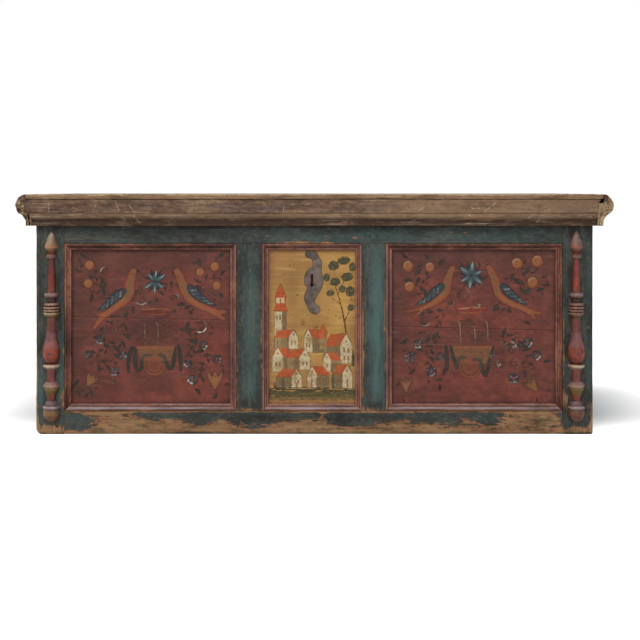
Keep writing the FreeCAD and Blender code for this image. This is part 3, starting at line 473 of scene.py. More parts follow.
frameGreen = painted(
    "green_frame_paint",
    {
        "coatDark": (41, 44, 41), "coat": (59, 64, 60), "coatLight": (80, 86, 81), "freshAndSheen": (76, 103, 99),
        "wood": (172, 136, 98), "woodDark": (116, 90, 64), "woodTint": (118, 100, 74), "under": (172, 118, 84),
        "underDark": (138, 92, 66), "woodSpeck": (96, 80, 64), "dirtAndShade": (34, 30, 26), "scratchTone": (132, 118, 96),
        "scratch": 0.45, "dirt": 0.5, "streak": 0.35, "bareAt": 0.92, "warm": 0.7, "shred": 0.6,
        "zones": (
            ((20, 30), 0.50, 0.62, 0.6, (76, 82, 78)), ((14, 26), 0.54, 0.66, 0.6, (68, 62, 50)),
            ((26, 50), 0.56, 0.66, 0.5, (48, 68, 62)), ((40, 60), 0.56, 0.68, 0.6, (38, 39, 36)),
            ((44, 150), 0.54, 0.66, 0.5, (124, 100, 78)))})
sideGreen = painted(
    "green_side_paint",
    {
        "coatDark": (40, 44, 41), "coat": (60, 67, 61), "coatLight": (80, 88, 81), "freshAndSheen": (60, 98, 94),
        "wood": (150, 118, 82), "woodDark": (98, 72, 50), "under": (150, 98, 66), "underDark": (112, 78, 56),
        "woodSpeck": (84, 72, 58), "dirtAndShade": (32, 31, 28), "warm": 0.5, "scratchTone": (130, 118, 98), "scratch": 0.5,
        "dirt": 0.55,
        "zones": (((9, 20), 0.52, 0.66, 0.6, (76, 72, 58)), ((14, 30), 0.54, 0.66, 0.6, (52, 74, 68)))})
mouldingRed = painted(
    "red_moulding_paint",
    {
        # the freshAndSheen tone here is the lilac of a painted sheen
        "coatDark": (80, 44, 36), "coat": (126, 75, 60), "coatLight": (156, 104, 82), "freshAndSheen": (190, 170, 170),
        "wood": (176, 128, 96), "woodDark": (130, 86, 62), "under": (182, 124, 96), "underDark": (148, 94, 72),
        "woodSpeck": (96, 62, 50), "dirtAndShade": (46, 27, 24), "scratchTone": (196, 166, 144), "scratch": 0.35,
        "dirt": 0.35, "crestLoss": 0.14, "streak": 0.35, "underAt": 0.90, "bareAt": 1.02, "bump": 0.5,
        "zones": (((14, 50), 0.52, 0.64, 0.5, (138, 90, 62)), ((10, 30), 0.54, 0.66, 0.45, (102, 66, 56)))})
lidBrown = painted(
    "brown_lid_paint",
    {
        "coatDark": (72, 54, 43), "coat": (115, 89, 71), "coatLight": (145, 117, 91), "freshAndSheen": (150, 121, 92),
        "wood": (204, 178, 138), "woodDark": (158, 126, 92), "woodTint": (176, 144, 102), "woodSpeck": (122, 98, 74),
        "warm": 0.5, "under": (158, 116, 82), "underDark": (126, 94, 72), "dirtAndShade": (66, 46, 34),
        "scratchTone": (212, 198, 174), "scratch": 0.7, "dirt": 0.6, "crestLoss": 0.28, "underAt": 0.86,
        "bareAt": 0.95, "bump": 1.0, "shine": 0.55, "streak": 0.4,
        "zones": (
            ((8, 50), 0.48, 0.60, 0.75, (100, 83, 82)), ((16, 80), 0.52, 0.62, 0.7, (148, 120, 90)),
            ((24, 110), 0.55, 0.65, 0.6, (142, 92, 66)), ((14, 90), 0.54, 0.65, 0.65, (66, 48, 40))),
        # scratches on the front: start and end as x, z and their width
        "marks": (
            ((-549, 648), (-539, 621), 3.0), ((-514, 642), (-495, 619), 3.2), ((-534, 611), (-521, 595), 2.6),
            ((-499, 609), (-482, 589), 2.8), ((-603, 642), (-607, 634), 2.8), ((-736, 650), (-733, 622), 2.4),
            ((-326, 647), (-326, 621), 1.1), ((-322, 646), (-302, 646), 2.2), ((-309, 614), (-304, 601), 1.8),
            ((-85, 645), (-85, 622), 1.2), ((-26, 640), (-15, 643), 2.4), ((-122, 651), (-126, 630), 1.0),
            ((103, 605), (108, 613), 1.6), ((249, 641), (262, 626), 1.9), ((242, 623), (264, 624), 1.6),
            ((287, 623), (302, 634), 3.0), ((248, 611), (250, 605), 3.4), ((262, 592), (281, 600), 2.6),
            ((428, 641), (438, 630), 2.8), ((436, 631), (455, 632), 3.0), ((471, 623), (484, 634), 3.2),
            ((484, 634), (500, 645), 3.0), ((421, 618), (433, 608), 2.8), ((592, 605), (608, 616), 5.0),
            ((617, 593), (629, 613), 3.6), ((691, 641), (723, 639), 1.4), ((632, 623), (651, 629), 1.7),
            ((755, 609), (767, 606), 3.0))})


def bareWood(name, along, light, dark, grey, knots=0.7):
    # unpainted softwood; along is the axis of its grain, x 0, y 1 or z 2
    finish = Finish(name)
    parts = finish.put("SeparateXYZ", {0: finish.place()})
    axes = [along] + [axis for axis in (0, 1, 2) if axis != along]
    grain = finish.put("CombineXYZ", {k: parts.outputs[axis] for k, axis in enumerate(axes)}).outputs[0]
    colour, lines, streak = woodTones(finish, grain, tone(*light), tone(*dark), knots)
    colour = finish.tinted(colour, finish.noise(grain, 3.2, 5.0, 0.6), 0.42, 0.70, 0.75, tone(*grey))
    colour = finish.tinted(colour, finish.drawn(grain, 4, 14, 6.0, 0.72), 0.56, 0.76, 0.55, tone(70, 54, 40))
    height = finish.plus(lines, (streak, 0.7))
    return finish.dress(colour, finish.between(lines, 0.2, 0.8, 0.82, 0.62), finish.bump(height, 0.0012, 0.6), 0.16)


pineTones = ((176, 138, 94), (126, 90, 56), (128, 108, 86))
pineAlongX = bareWood("raw_pine_along", 0, *pineTones)
pineAlongY = bareWood("raw_pine_across", 1, *pineTones)
pegWood = bareWood("peg_wood", 1, (66, 62, 52), (46, 45, 40), (58, 62, 56), 0.0)


def forgedIron(name, dark, light, rust, rustShare):
    finish = Finish(name)
    place = finish.place()
    hammer = finish.cells(place, 210.0, "SMOOTH_F1")
    fine = finish.noise(place, 620.0, 4.0, 0.65)
    rusty = finish.noise(place, 90.0, 6.0, 0.72)
    colour = finish.ramp(finish.noise(place, 38.0, 5.0, 0.6), (0.30, tone(*dark)), (0.70, tone(*light)))
    colour = finish.tinted(colour, fine, 0.52, 0.72, 0.6, tone(*dark))
    colour = finish.tinted(colour, rusty, 0.52, 0.66, rustShare, tone(*rust))
    height = finish.plus(finish.times(hammer, 1.2), (fine, 0.35))
    shine = finish.between(rusty, 0.4, 0.7, 0.42, 0.72)
    return finish.dress(colour, shine, finish.bump(height, 0.0008, 0.7), metal=0.35)


wroughtIron = forgedIron("wrought_iron", (37, 31, 28), (111, 94, 83), (92, 62, 46), 0.6)
nailIron = forgedIron("nail_iron", (38, 33, 30), (88, 76, 68), (88, 56, 40), 0.8)
print("materials ready")


# Painted panels: a dense front whose points hold the ground, the figures and how thickly they are painted

class PaintedFront:
    def __init__(self, low, high, zLow, zHigh, gap, seed, palette):
        # low and high are its ends in x; zLow and zHigh give its lower and upper edge at each x
        self.palette = palette
        self.columns = max(2, round((high - low) / gap)) + 1
        rows = max(2, round((np.mean(zHigh([low, high])) - np.mean(zLow([low, high]))) / gap)) + 1
        self.rows = rows
        x = np.linspace(low, high, self.columns)
        share = np.linspace(0, 1, rows)[:, None]
        bottom, top = zLow(x), zHigh(x)
        self.x = np.broadcast_to(x[None, :], (rows, self.columns)).ravel().copy()
        self.z = (bottom[None, :] + share * (top - bottom)[None, :]).ravel()
        self.spots = np.stack([self.x, np.zeros(len(self.x)), self.z], 1)
        self.tint = np.zeros((len(self.x), 3))
        self.cover = np.zeros(len(self.x))
        self.ground = np.ones((len(self.x), 3))
        self.worn = np.zeros(len(self.x))
        self.wobble = layered(self.spots, 7, seed, 2) * 0.9
        self.bristle = layered(self.spots, 3.2, seed + 5, 2)

    def near(self, x0, x1, z0, z1, spare=2.5):
        inside = (self.x > x0 - spare) & (self.x < x1 + spare) & (self.z > z0 - spare) & (self.z < z1 + spare)
        return np.nonzero(inside)[0]

    def lay(self, which, outside, colour, strength=1.0, soft=1.3):
        # outside is the distance in mm past the edge of the mark, negative within it
        share = np.clip(0.5 - (outside + self.wobble[which]) / soft, 0, 1) * strength
        share = share * np.clip(0.93 + 0.25 * self.bristle[which], 0, 1)
        self.tint[which] += (np.array(self.palette[colour], float) - self.tint[which]) * share[:, None]
        self.cover[which] = np.maximum(self.cover[which], share)
        thin = self.cover[which] * (1 - share) + share * max(strength, 0.05)
        self.cover[which] = np.maximum(thin, self.cover[which] * 0.98)

    def stroke(self, path, widths, colour, strength=1.0, soft=1.3):
        # a brush stroke through the points of path, its half width changing along it
        path = np.array(path, float)
        ends = np.vstack([2 * path[0] - path[1], path, 2 * path[-1] - path[-2]])
        widths = np.interp(np.linspace(0, 1, len(path)), np.linspace(0, 1, len(widths)), widths)
        marks, sizes = [], []
        for k in range(len(path) - 1):
            a, b, c, d = ends[k:k + 4]
            count = max(2, math.ceil(np.linalg.norm(c - b) / 1.5))
            for s in np.arange(count + (k == len(path) - 2)) / count:
                marks.append(0.5 * (2 * b + (c - a) * s + (2 * a - 5 * b + 4 * c - d) * s * s
                                    + (3 * b - a - 3 * c + d) * s ** 3))
                sizes.append(widths[k] + (widths[k + 1] - widths[k]) * s)
        marks, sizes = np.array(marks), np.array(sizes)
        most = sizes.max()
        which = self.near(marks[:, 0].min() - most, marks[:, 0].max() + most,
                          marks[:, 1].min() - most, marks[:, 1].max() + most)
        if len(which):
            gaps = np.hypot(self.x[which, None] - marks[None, :, 0], self.z[which, None] - marks[None, :, 1])
            self.lay(which, (gaps - sizes[None, :]).min(1), colour, strength, soft)

    def dab(self, x, z, reachX, reachZ, colour, strength=1.0, turn=0.0, soft=1.3):
        most = max(reachX, reachZ)
        which = self.near(x - most, x + most, z - most, z + most)
        if len(which):
            c, s = math.cos(turn), math.sin(turn)
            dx, dz = self.x[which] - x, self.z[which] - z
            far = np.hypot((dx * c + dz * s) / reachX, (dz * c - dx * s) / reachZ)
            self.lay(which, (far - 1) * min(reachX, reachZ), colour, strength, soft)

    def patch(self, corners, colour, strength=1.0, soft=1.3):
        # a flat patch with straight sides, its corners in order and bulging outwards
        corners = np.array(corners, float)
        which = self.near(corners[:, 0].min(), corners[:, 0].max(), corners[:, 1].min(), corners[:, 1].max())
        if len(which):
            turn = np.roll(corners, -1, 0)
            area = np.sum(corners[:, 0] * turn[:, 1] - turn[:, 0] * corners[:, 1])
            outside = np.full(len(which), -1e9)
            for (ax, az), (bx, bz) in zip(corners, turn):
                length = math.hypot(bx - ax, bz - az)
                away = ((self.z[which] - az) * (bx - ax) - (self.x[which] - ax) * (bz - az)) / length
                outside = np.maximum(outside, -away if area > 0 else away)
            self.lay(which, outside, colour, strength, soft)

    def shade(self, x, z, reachX, reachZ, colour, strength):
        # a broad soft change of the ground colour
        share = strength * np.exp(-((self.x - x) / reachX) ** 2 - ((self.z - z) / reachZ) ** 2)
        self.ground += (np.array(colour, float) - self.ground) * share[:, None]

    def build(self, name, look):
        rows, columns = self.rows, self.columns
        grid, z = np.arange(rows * columns).reshape(rows, columns), self.z.reshape(rows, columns)
        rim = np.concatenate([grid[0, :-1], grid[:-1, -1], grid[-1, :0:-1], grid[:0:-1, 0]])
        edge = np.minimum(z - z[0], z[-1] - z).ravel()
        wave = look["wave"] * (0.5 + 0.5 * layered(self.spots, 120, look["seed"], 3, (2.6, 1, 1)))
        bite = np.clip(layered(self.spots, 30, look["seed"] + 3, 3) + 0.15, 0, 1)
        ease = (look["ease"] + look["chip"] * bite) * np.clip(1 - edge / (1.2 + 4 * bite), 0, 1)
        points = self.spots.copy()
        points[:, 1] = chest["panelY"] + (wave + ease)
        # the keyhole is a shallow pit painted near-black: painted shade for the dark inside of the lock
        if "hole" in look:
            hole = look["hole"]
            slot = np.hypot(self.x - hole["x"], self.z - hole["z"]) < hole["radius"]
            slot |= (np.abs(self.x - hole["x"]) < hole["slot"]) & (self.z > hole["z"]) & (self.z < hole["top"])
            points[slot, 1] = chest["panelBackY"] - hole["skin"]
            self.worn[slot], self.cover[slot], self.tint[slot] = -1.0, 1.0, hole["tone"]
        back = points[rim].copy()
        back[:, 1] = chest["panelBackY"]
        spare = len(rim)
        backRim = np.arange(spare) + len(points)
        quads = np.stack([grid[:-1, :-1], grid[:-1, 1:], grid[1:, 1:], grid[1:, :-1]], -1).reshape(-1, 4)
        walls = np.stack([rim, backRim, np.roll(backRim, -1), np.roll(rim, -1)], -1)
        faces = quads.tolist() + walls.tolist() + [backRim.tolist()]
        piece = makeObject(name + "_painted", np.vstack([points, back]), faces, "case", (name,))

        def filled(values, value):
            return np.concatenate([values, np.full((spare,) + values.shape[1:], value)])

        keepColours(piece, "tint", filled(np.clip(self.tint, 0, 255), 0))
        keepColours(piece, "ground", filled(np.clip(self.ground, 0, 255), 80))
        keepValues(piece, "cover", filled(np.clip(self.cover, 0, 1), 0))
        keepValues(piece, "worn", filled(self.worn, 1.5))
        keepValues(piece, "crest", filled(np.clip(1 - edge / 3, 0, 1), 0))
        keepValues(piece, "grain", np.vstack([self.spots, back]) * mm + look["seed"] * 0.37)
        piece.data.materials.append(look["finish"])


def paintedPanel(name, look):
    # figures over a ground coat, both thinned and broken by wear
    look = toned(look)
    finish = Finish(name)
    grain = finish.grain()
    worn, crest, cover = finish.value("worn"), finish.value("crest"), finish.value("cover")
    broad = finish.noise(grain, 17.0, 5.0, 0.65)
    streak = finish.drawn(grain, *look["drawn"], 5.0, 0.66, 0.3)
    fine = finish.noise(grain, 300.0, 4.0, 0.65)
    flakes = finish.drawn(grain, 70, 150, 6.0, 0.7, 0.4)
    coat = finish.tinted(finish.colour("ground"), broad, 0.40, 0.66, look["cloud"], look["cloudTone"])
    coat = finish.tinted(coat, streak, 0.50, 0.74, look["streak"], look["streakTone"])
    coat = finish.tinted(coat, streak, 0.48, 0.28, look["lift"], look["liftTone"])
    coat = finish.tinted(coat, fine, 0.56, 0.74, 0.35, look["liftTone"])
    broken = finish.plus(cover, (finish.sums("SUBTRACT", flakes, 0.5), -0.85),
                         (finish.sums("SUBTRACT", streak, 0.5), -0.45))
    shown = finish.times(finish.between(broken, 0.24, 0.62), look["strength"])
    faded = finish.tinted(finish.colour("tint"), fine, 0.45, 0.70, 0.30, look["streakTone"])
    wood, lines, _ = woodTones(finish, grain, look["wood"], look["woodDark"])
    bare = finish.between(finish.plus(worn, (crest, 0.25), (flakes, 0.75), (broad, 0.28)), 0.86, 0.93)
    colour = finish.mix(bare, finish.mix(shown, coat, faded), wood)
    scratches = finish.between(finish.drawn(grain, 3.5, 520, 2.0, 0.4, 1.2), 0.69, 0.73, 0.0, look["scratch"])
    colour = finish.mix(finish.times(scratches, finish.between(broad, 0.40, 0.55)), colour, look["scratchTone"])
    colour = finish.tinted(colour, finish.drawn(grain, 26, 60, 6.0, 0.72), 0.56, 0.78, look["dirt"], look["dirtAndShade"])
    height = finish.plus(finish.times(shown, 0.35), (bare, -0.8), (streak, 0.9), (fine, 0.12))
    shine = finish.plus(finish.between(bare, 0, 1, look["shine"], 0.8), (finish.noise(grain, 60.0, 3.0), 0.14))
    return finish.dress(colour, shine, finish.bump(height, 0.0008, 0.55), 0.16)


redPaint = paintedPanel(
    "red_panel_paint",
    {
        "drawn": (13, 90), "cloud": 0.6, "cloudTone": (84, 53, 47), "streak": 0.45, "streakTone": (70, 46, 42),
        "lift": 0.45, "liftTone": (134, 78, 67), "strength": 0.95, "wood": (146, 106, 76), "woodDark": (104, 70, 50),
        "scratch": 0.45, "scratchTone": (150, 104, 88), "dirt": 0.45, "dirtAndShade": (52, 37, 34), "shine": 0.46})
ochrePaint = paintedPanel(
    "ochre_panel_paint",
    {
        "drawn": (7, 120), "cloud": 0.45, "cloudTone": (148, 106, 60), "streak": 0.5, "streakTone": (138, 100, 62),
        "lift": 0.6, "liftTone": (196, 160, 98), "strength": 0.96, "wood": (164, 128, 90), "woodDark": (116, 86, 58),
        "scratch": 0.6, "scratchTone": (212, 180, 140), "dirt": 0.45, "dirtAndShade": (84, 62, 42), "shine": 0.5})

paints = {
    "orange": (154, 88, 58), "deepOrange": (134, 70, 52), "ochre": (146, 98, 68), "gold": (164, 112, 68),
    "bird": (144, 86, 58), "birdBack": (116, 90, 60), "birdRim": (162, 90, 56), "tail": (150, 78, 55),
    "leaf": (59, 60, 51), "leafLight": (94, 98, 86), "blue": (76, 88, 92), "blueLight": (124, 134, 132),
    "blueDark": (44, 50, 54), "wing": (54, 66, 70), "teal": (72, 98, 98), "tealLight": (142, 160, 156),
    "white": (212, 198, 178), "cream": (184, 156, 132), "rose": (152, 72, 58), "dark": (48, 34, 31),
    "vase": (98, 68, 58), "brown": (124, 78, 58), "scroll": (60, 60, 50),
}


def heading(angle):
    return np.array([math.cos(angle), math.sin(angle)])


def ringPath(x, z, radius, start, turn, count):
    return [(x + math.cos(a) * radius, z + math.sin(a) * radius) for a in np.linspace(start, start + turn, count)]


# Blooms, in shares of their radius. rose: dabs with place, half width and height, paint, strength and softness.
# roseRings: radius, start, turn, points, half width, paint, added strength. wornArcs: start, radius, strength.
# litArcs: radius, start, turn, points, half widths from start to end, softness
blooms = {
    "rose": (
        (0.0, 0.0, 1.04, 1.04, "orange", 0.85, 3.0), (-0.1, 0.12, 0.76, 0.76, "gold", 0.8, 3.0),
        (0.06, -0.04, 0.42, 0.40, "orange", 0.8, 2.5)),
    "roseRings": (
        (0.82, 0.9, 2.2, 4, 0.12, "cream", 0.0), (0.80, 3.4, 2.4, 4, 0.09, "deepOrange", 0.2),
        (0.34, 0.4, 4.6, 6, 0.09, "deepOrange", 0.2)),
    "wornArcs": (
        (3.5, 0.92, 0.9), (4.4, 0.94, 1.0), (5.5, 0.96, 0.6), (0.7, 0.84, 0.4), (1.8, 0.66, 0.45), (2.8, 0.5, 0.4)),
    "petals": ("teal", "tealLight", "blueLight"),
    "litArcs": ((0.80, -0.9, 0.8, 3, 0.4, 0.17, 0.5, 1.8), (0.64, -0.1, 1.0, 4, 0.5, 0.22, 0.4, 2.0)),
    "scuffs": ("white", "blueLight", "cream", "leaf", "ochre", "leaf", "white", "blue"),
}


def paintRose(front, x, z, radius, rings):
    # a round bloom: soft rim, lighter body and a darker heart, with petal rings where they are still there
    for across, up, wide, tall, paint, strength, soft in blooms["rose"]:
        front.dab(x + radius * across, z + radius * up, radius * wide, radius * tall, paint, strength, 0.0, soft)
    for size, start, turn, count, half, paint, more in blooms["roseRings"]:
        ring = ringPath(x, z, radius * size, start, turn, count)
        front.stroke(ring, (0.3, radius * half, 0.3), paint, rings + more)
    front.dab(x, z, radius * 0.16, radius * 0.16, "gold", 0.6)


def paintWornRose(front, x, z, radius, strength, turn):
    # a bloom of which only a shade and arcs of its white edge are left
    front.dab(x, z, radius * 0.95, radius * 0.95, "rose" if turn < -1 else "vase", 0.42, 0.0, 4.0)
    for start, size, part in blooms["wornArcs"]:
        front.stroke(ringPath(x, z, radius * size, start + turn, 1.05, 4), (0.4, radius * (0.04 + 0.11 * part), 0.3),
                     "white", strength * part, 1.8)
    front.dab(x, z, radius * 0.3, radius * 0.26, "rose", 0.5, 0.0, 3.0)


def paintDaisy(front, x, z, radius, seed, lit, strength):
    # a dark disc with uneven blue-grey petals, a red heart and white where the light falls
    front.dab(x, z, radius * 0.94, radius * 0.88, "blueDark", 0.62, 0.0, 4.5)
    for k in range(9):
        a = seed * 1.3 + k * 0.7
        far, long = 0.60 + 0.12 * math.sin(seed * 3 + k * 2.1), 0.26 + 0.08 * math.sin(seed + k * 1.9)
        front.dab(x + math.cos(a) * radius * far, z + math.sin(a) * radius * far, radius * long, radius * 0.15,
                  blooms["petals"][(seed + k) % 3], 0.34 + 0.20 * (k % 3), a, 2.6)
    for size, start, turn, count, first, half, last, soft in blooms["litArcs"]:
        front.stroke(ringPath(x, z, radius * size, lit + start, turn, count), (first, radius * half, last), "white",
                     strength, soft)
    front.dab(x, z, radius * 0.31, radius * 0.27, "rose", 0.85, seed, 2.6)
    front.dab(x - radius * 0.08, z + radius * 0.06, radius * 0.11, radius * 0.10, "gold", 0.5)


def paintScuffs(front, x, z, reachX, reachZ, count, seed):
    # short strokes left of worn-off petals and leaves
    dice = np.random.default_rng(seed)
    for k in range(count):
        at = np.array([x + reachX * dice.uniform(-1, 1), z + reachZ * dice.uniform(-1, 1)])
        turn, length = dice.uniform(0, math.tau), dice.uniform(2.0, 7.5)
        out = heading(turn)
        bend = np.array([-out[1], out[0]]) * dice.uniform(-0.3, 0.3)
        front.stroke([at, at + (out * 0.5 + bend) * length, at + out * length], (0.4, dice.uniform(0.5, 1.3), 0.4),
                     blooms["scuffs"][k % len(blooms["scuffs"])], dice.uniform(0.3, 0.75), 1.8)


def paintStar(front, x, z, radius, slim, angles):
    # a star of pointed petals, dark at their edges and pale towards their tips, with dark leaves behind
    middle = np.array([x, z])
    for a in angles:
        out = heading(a + 0.45)
        front.stroke([middle + out * radius * 0.6, middle + out * radius * 1.2], (3.6, 1.0), "leaf", 0.65, 3.0)
    for k, a in enumerate(angles):
        out = heading(a)
        long = radius * (1.04 + 0.09 * math.sin(2.3 * k + radius))
        path = [middle + out * long * share for share in (0.08, 0.42, 0.74, 1.0)]
        front.stroke(path, (long * 0.07, long * 0.29 * slim, long * 0.22 * slim, 0.8), "blueDark", 0.9, 2.0)
        front.stroke(path, (long * 0.03, long * 0.20 * slim, long * 0.15 * slim, 0.5), "teal", 0.9, 2.0)
        front.stroke(path[1:], (0.5, long * 0.085, 0.9), "tealLight", 0.9 - 0.14 * (k % 3), 2.0)
        front.stroke(path[2:], (0.4, 0.9), "white", 0.5 * ((k + 1) % 2), 1.8)
    front.dab(x, z, radius * 0.13, radius * 0.13, "dark", 0.7)


def paintLeaf(front, x, z, length, turn, strength, light):
    out, across = heading(turn), np.array([-math.sin(turn), math.cos(turn)])
    base = np.array([x, z])
    path = [base, base + out * length * 0.5 + across * length * 0.07, base + out * length]
    front.stroke(path, (1.0, length * 0.23, 0.9), "leaf", strength, 4.2)
    vein = [base + out * length * share + across * 0.8 for share in (0.2, 0.75)]
    front.stroke(vein, (0.6, 1.7, 0.5), "leafLight", light, 2.8)


def paintBranch(front, path, leafLength, seed, strength, every=11.0):
    # a thin stem with leaves to either side
    path = np.array(path, float)
    front.stroke(path, (1.1, 0.8, 0.6), "leaf", strength * 0.6)
    lengths = np.linalg.norm(np.diff(path, axis=0), axis=1)
    at = np.concatenate([[0.0], np.cumsum(lengths)])
    side = 1
    for k, distance in enumerate(np.arange(every * 0.4, at[-1], every)):
        spot = [np.interp(distance, at, path[:, axis]) for axis in (0, 1)]
        ahead = [np.interp(distance + 2, at, path[:, axis]) for axis in (0, 1)]
        turn = math.atan2(ahead[1] - spot[1], ahead[0] - spot[0]) + side * (0.75 + 0.25 * math.sin(seed + k * 1.7))
        size = leafLength * (0.88 + 0.38 * math.sin(seed * 2.1 + k * 2.3))
        fade = 0.78 + 0.22 * math.sin(seed * 1.7 + k * 2.9)
        paintLeaf(front, spot[0], spot[1], size, turn, strength * fade, 0.2 + 0.45 * ((seed + k) % 3 == 0))
        side = -side


def paintBird(front, body, tails, wing, beak):
    # paths of x, z and half width: body from the head to the rump, tail feathers, folded wing
    for path in (*tails, body):
        path = np.array(path)
        front.stroke(path[:, :2], path[:, 2], "birdRim" if path is body else "tail", 0.95, 2.4)
    for path in (*tails, body):
        path = np.array(path)
        front.stroke(path[:, :2], path[:, 2] * 0.72, "bird", 0.85, 3.0)
    back = np.array(body)
    front.stroke(back[:5, :2], back[:5, 2] * 0.42, "birdBack", 0.7, 4.0)
    front.stroke(back[4:, :2], back[4:, 2] * 0.36, "gold", 0.35, 4.0)
    wing = np.array(wing)
    front.stroke(wing[:, :2], wing[:, 2] * 1.04, "blueDark", 1.0)
    front.stroke(wing[:, :2], wing[:, 2] * 0.62, "wing", 0.85, 3.5)
    steps = np.arange(len(wing))
    for row, shift in enumerate((-0.48, -0.12, 0.22, 0.5)):
        for k in np.linspace(0.2, 2.9, 5):
            k = k + 0.17 * row
            spot, after = (np.array([np.interp(at, steps, wing[:, axis]) for axis in (0, 1)]) for at in (k, k + 0.2))
            out = (after - spot) / max(np.linalg.norm(after - spot), 0.1)
            across = np.array([-out[1], out[0]]) * np.interp(k, steps, wing[:, 2]) * shift
            lit = "white" if (row * 3 + round(k * 4)) % 4 == 0 else "blueLight"
            front.stroke([spot + across, spot + across + out * 5.0], (1.3, 0.5), lit, 0.8 if row % 2 else 0.5, 1.8)
    front.dab(*beak[:2], beak[2], beak[2] * 1.1, "dark", 0.7)


def paintTulip(front, x, z, size, turn, strength):
    # a faded cup of three petals opening towards turn
    middle = np.array([x, z])
    for lean, wide in ((-0.44, 0.19), (0.44, 0.19), (0.0, 0.27)):
        out = heading(turn + lean) * size
        root = middle - heading(turn) * size * 0.45
        front.stroke([root, root + out * 0.6, root + out * 1.02], (size * 0.07, size * wide, size * 0.1), "ochre",
                     strength, 4.0)
    front.dab(x, z, size * 0.2, size * 0.16, "gold", strength * 0.4, turn, 4.0)


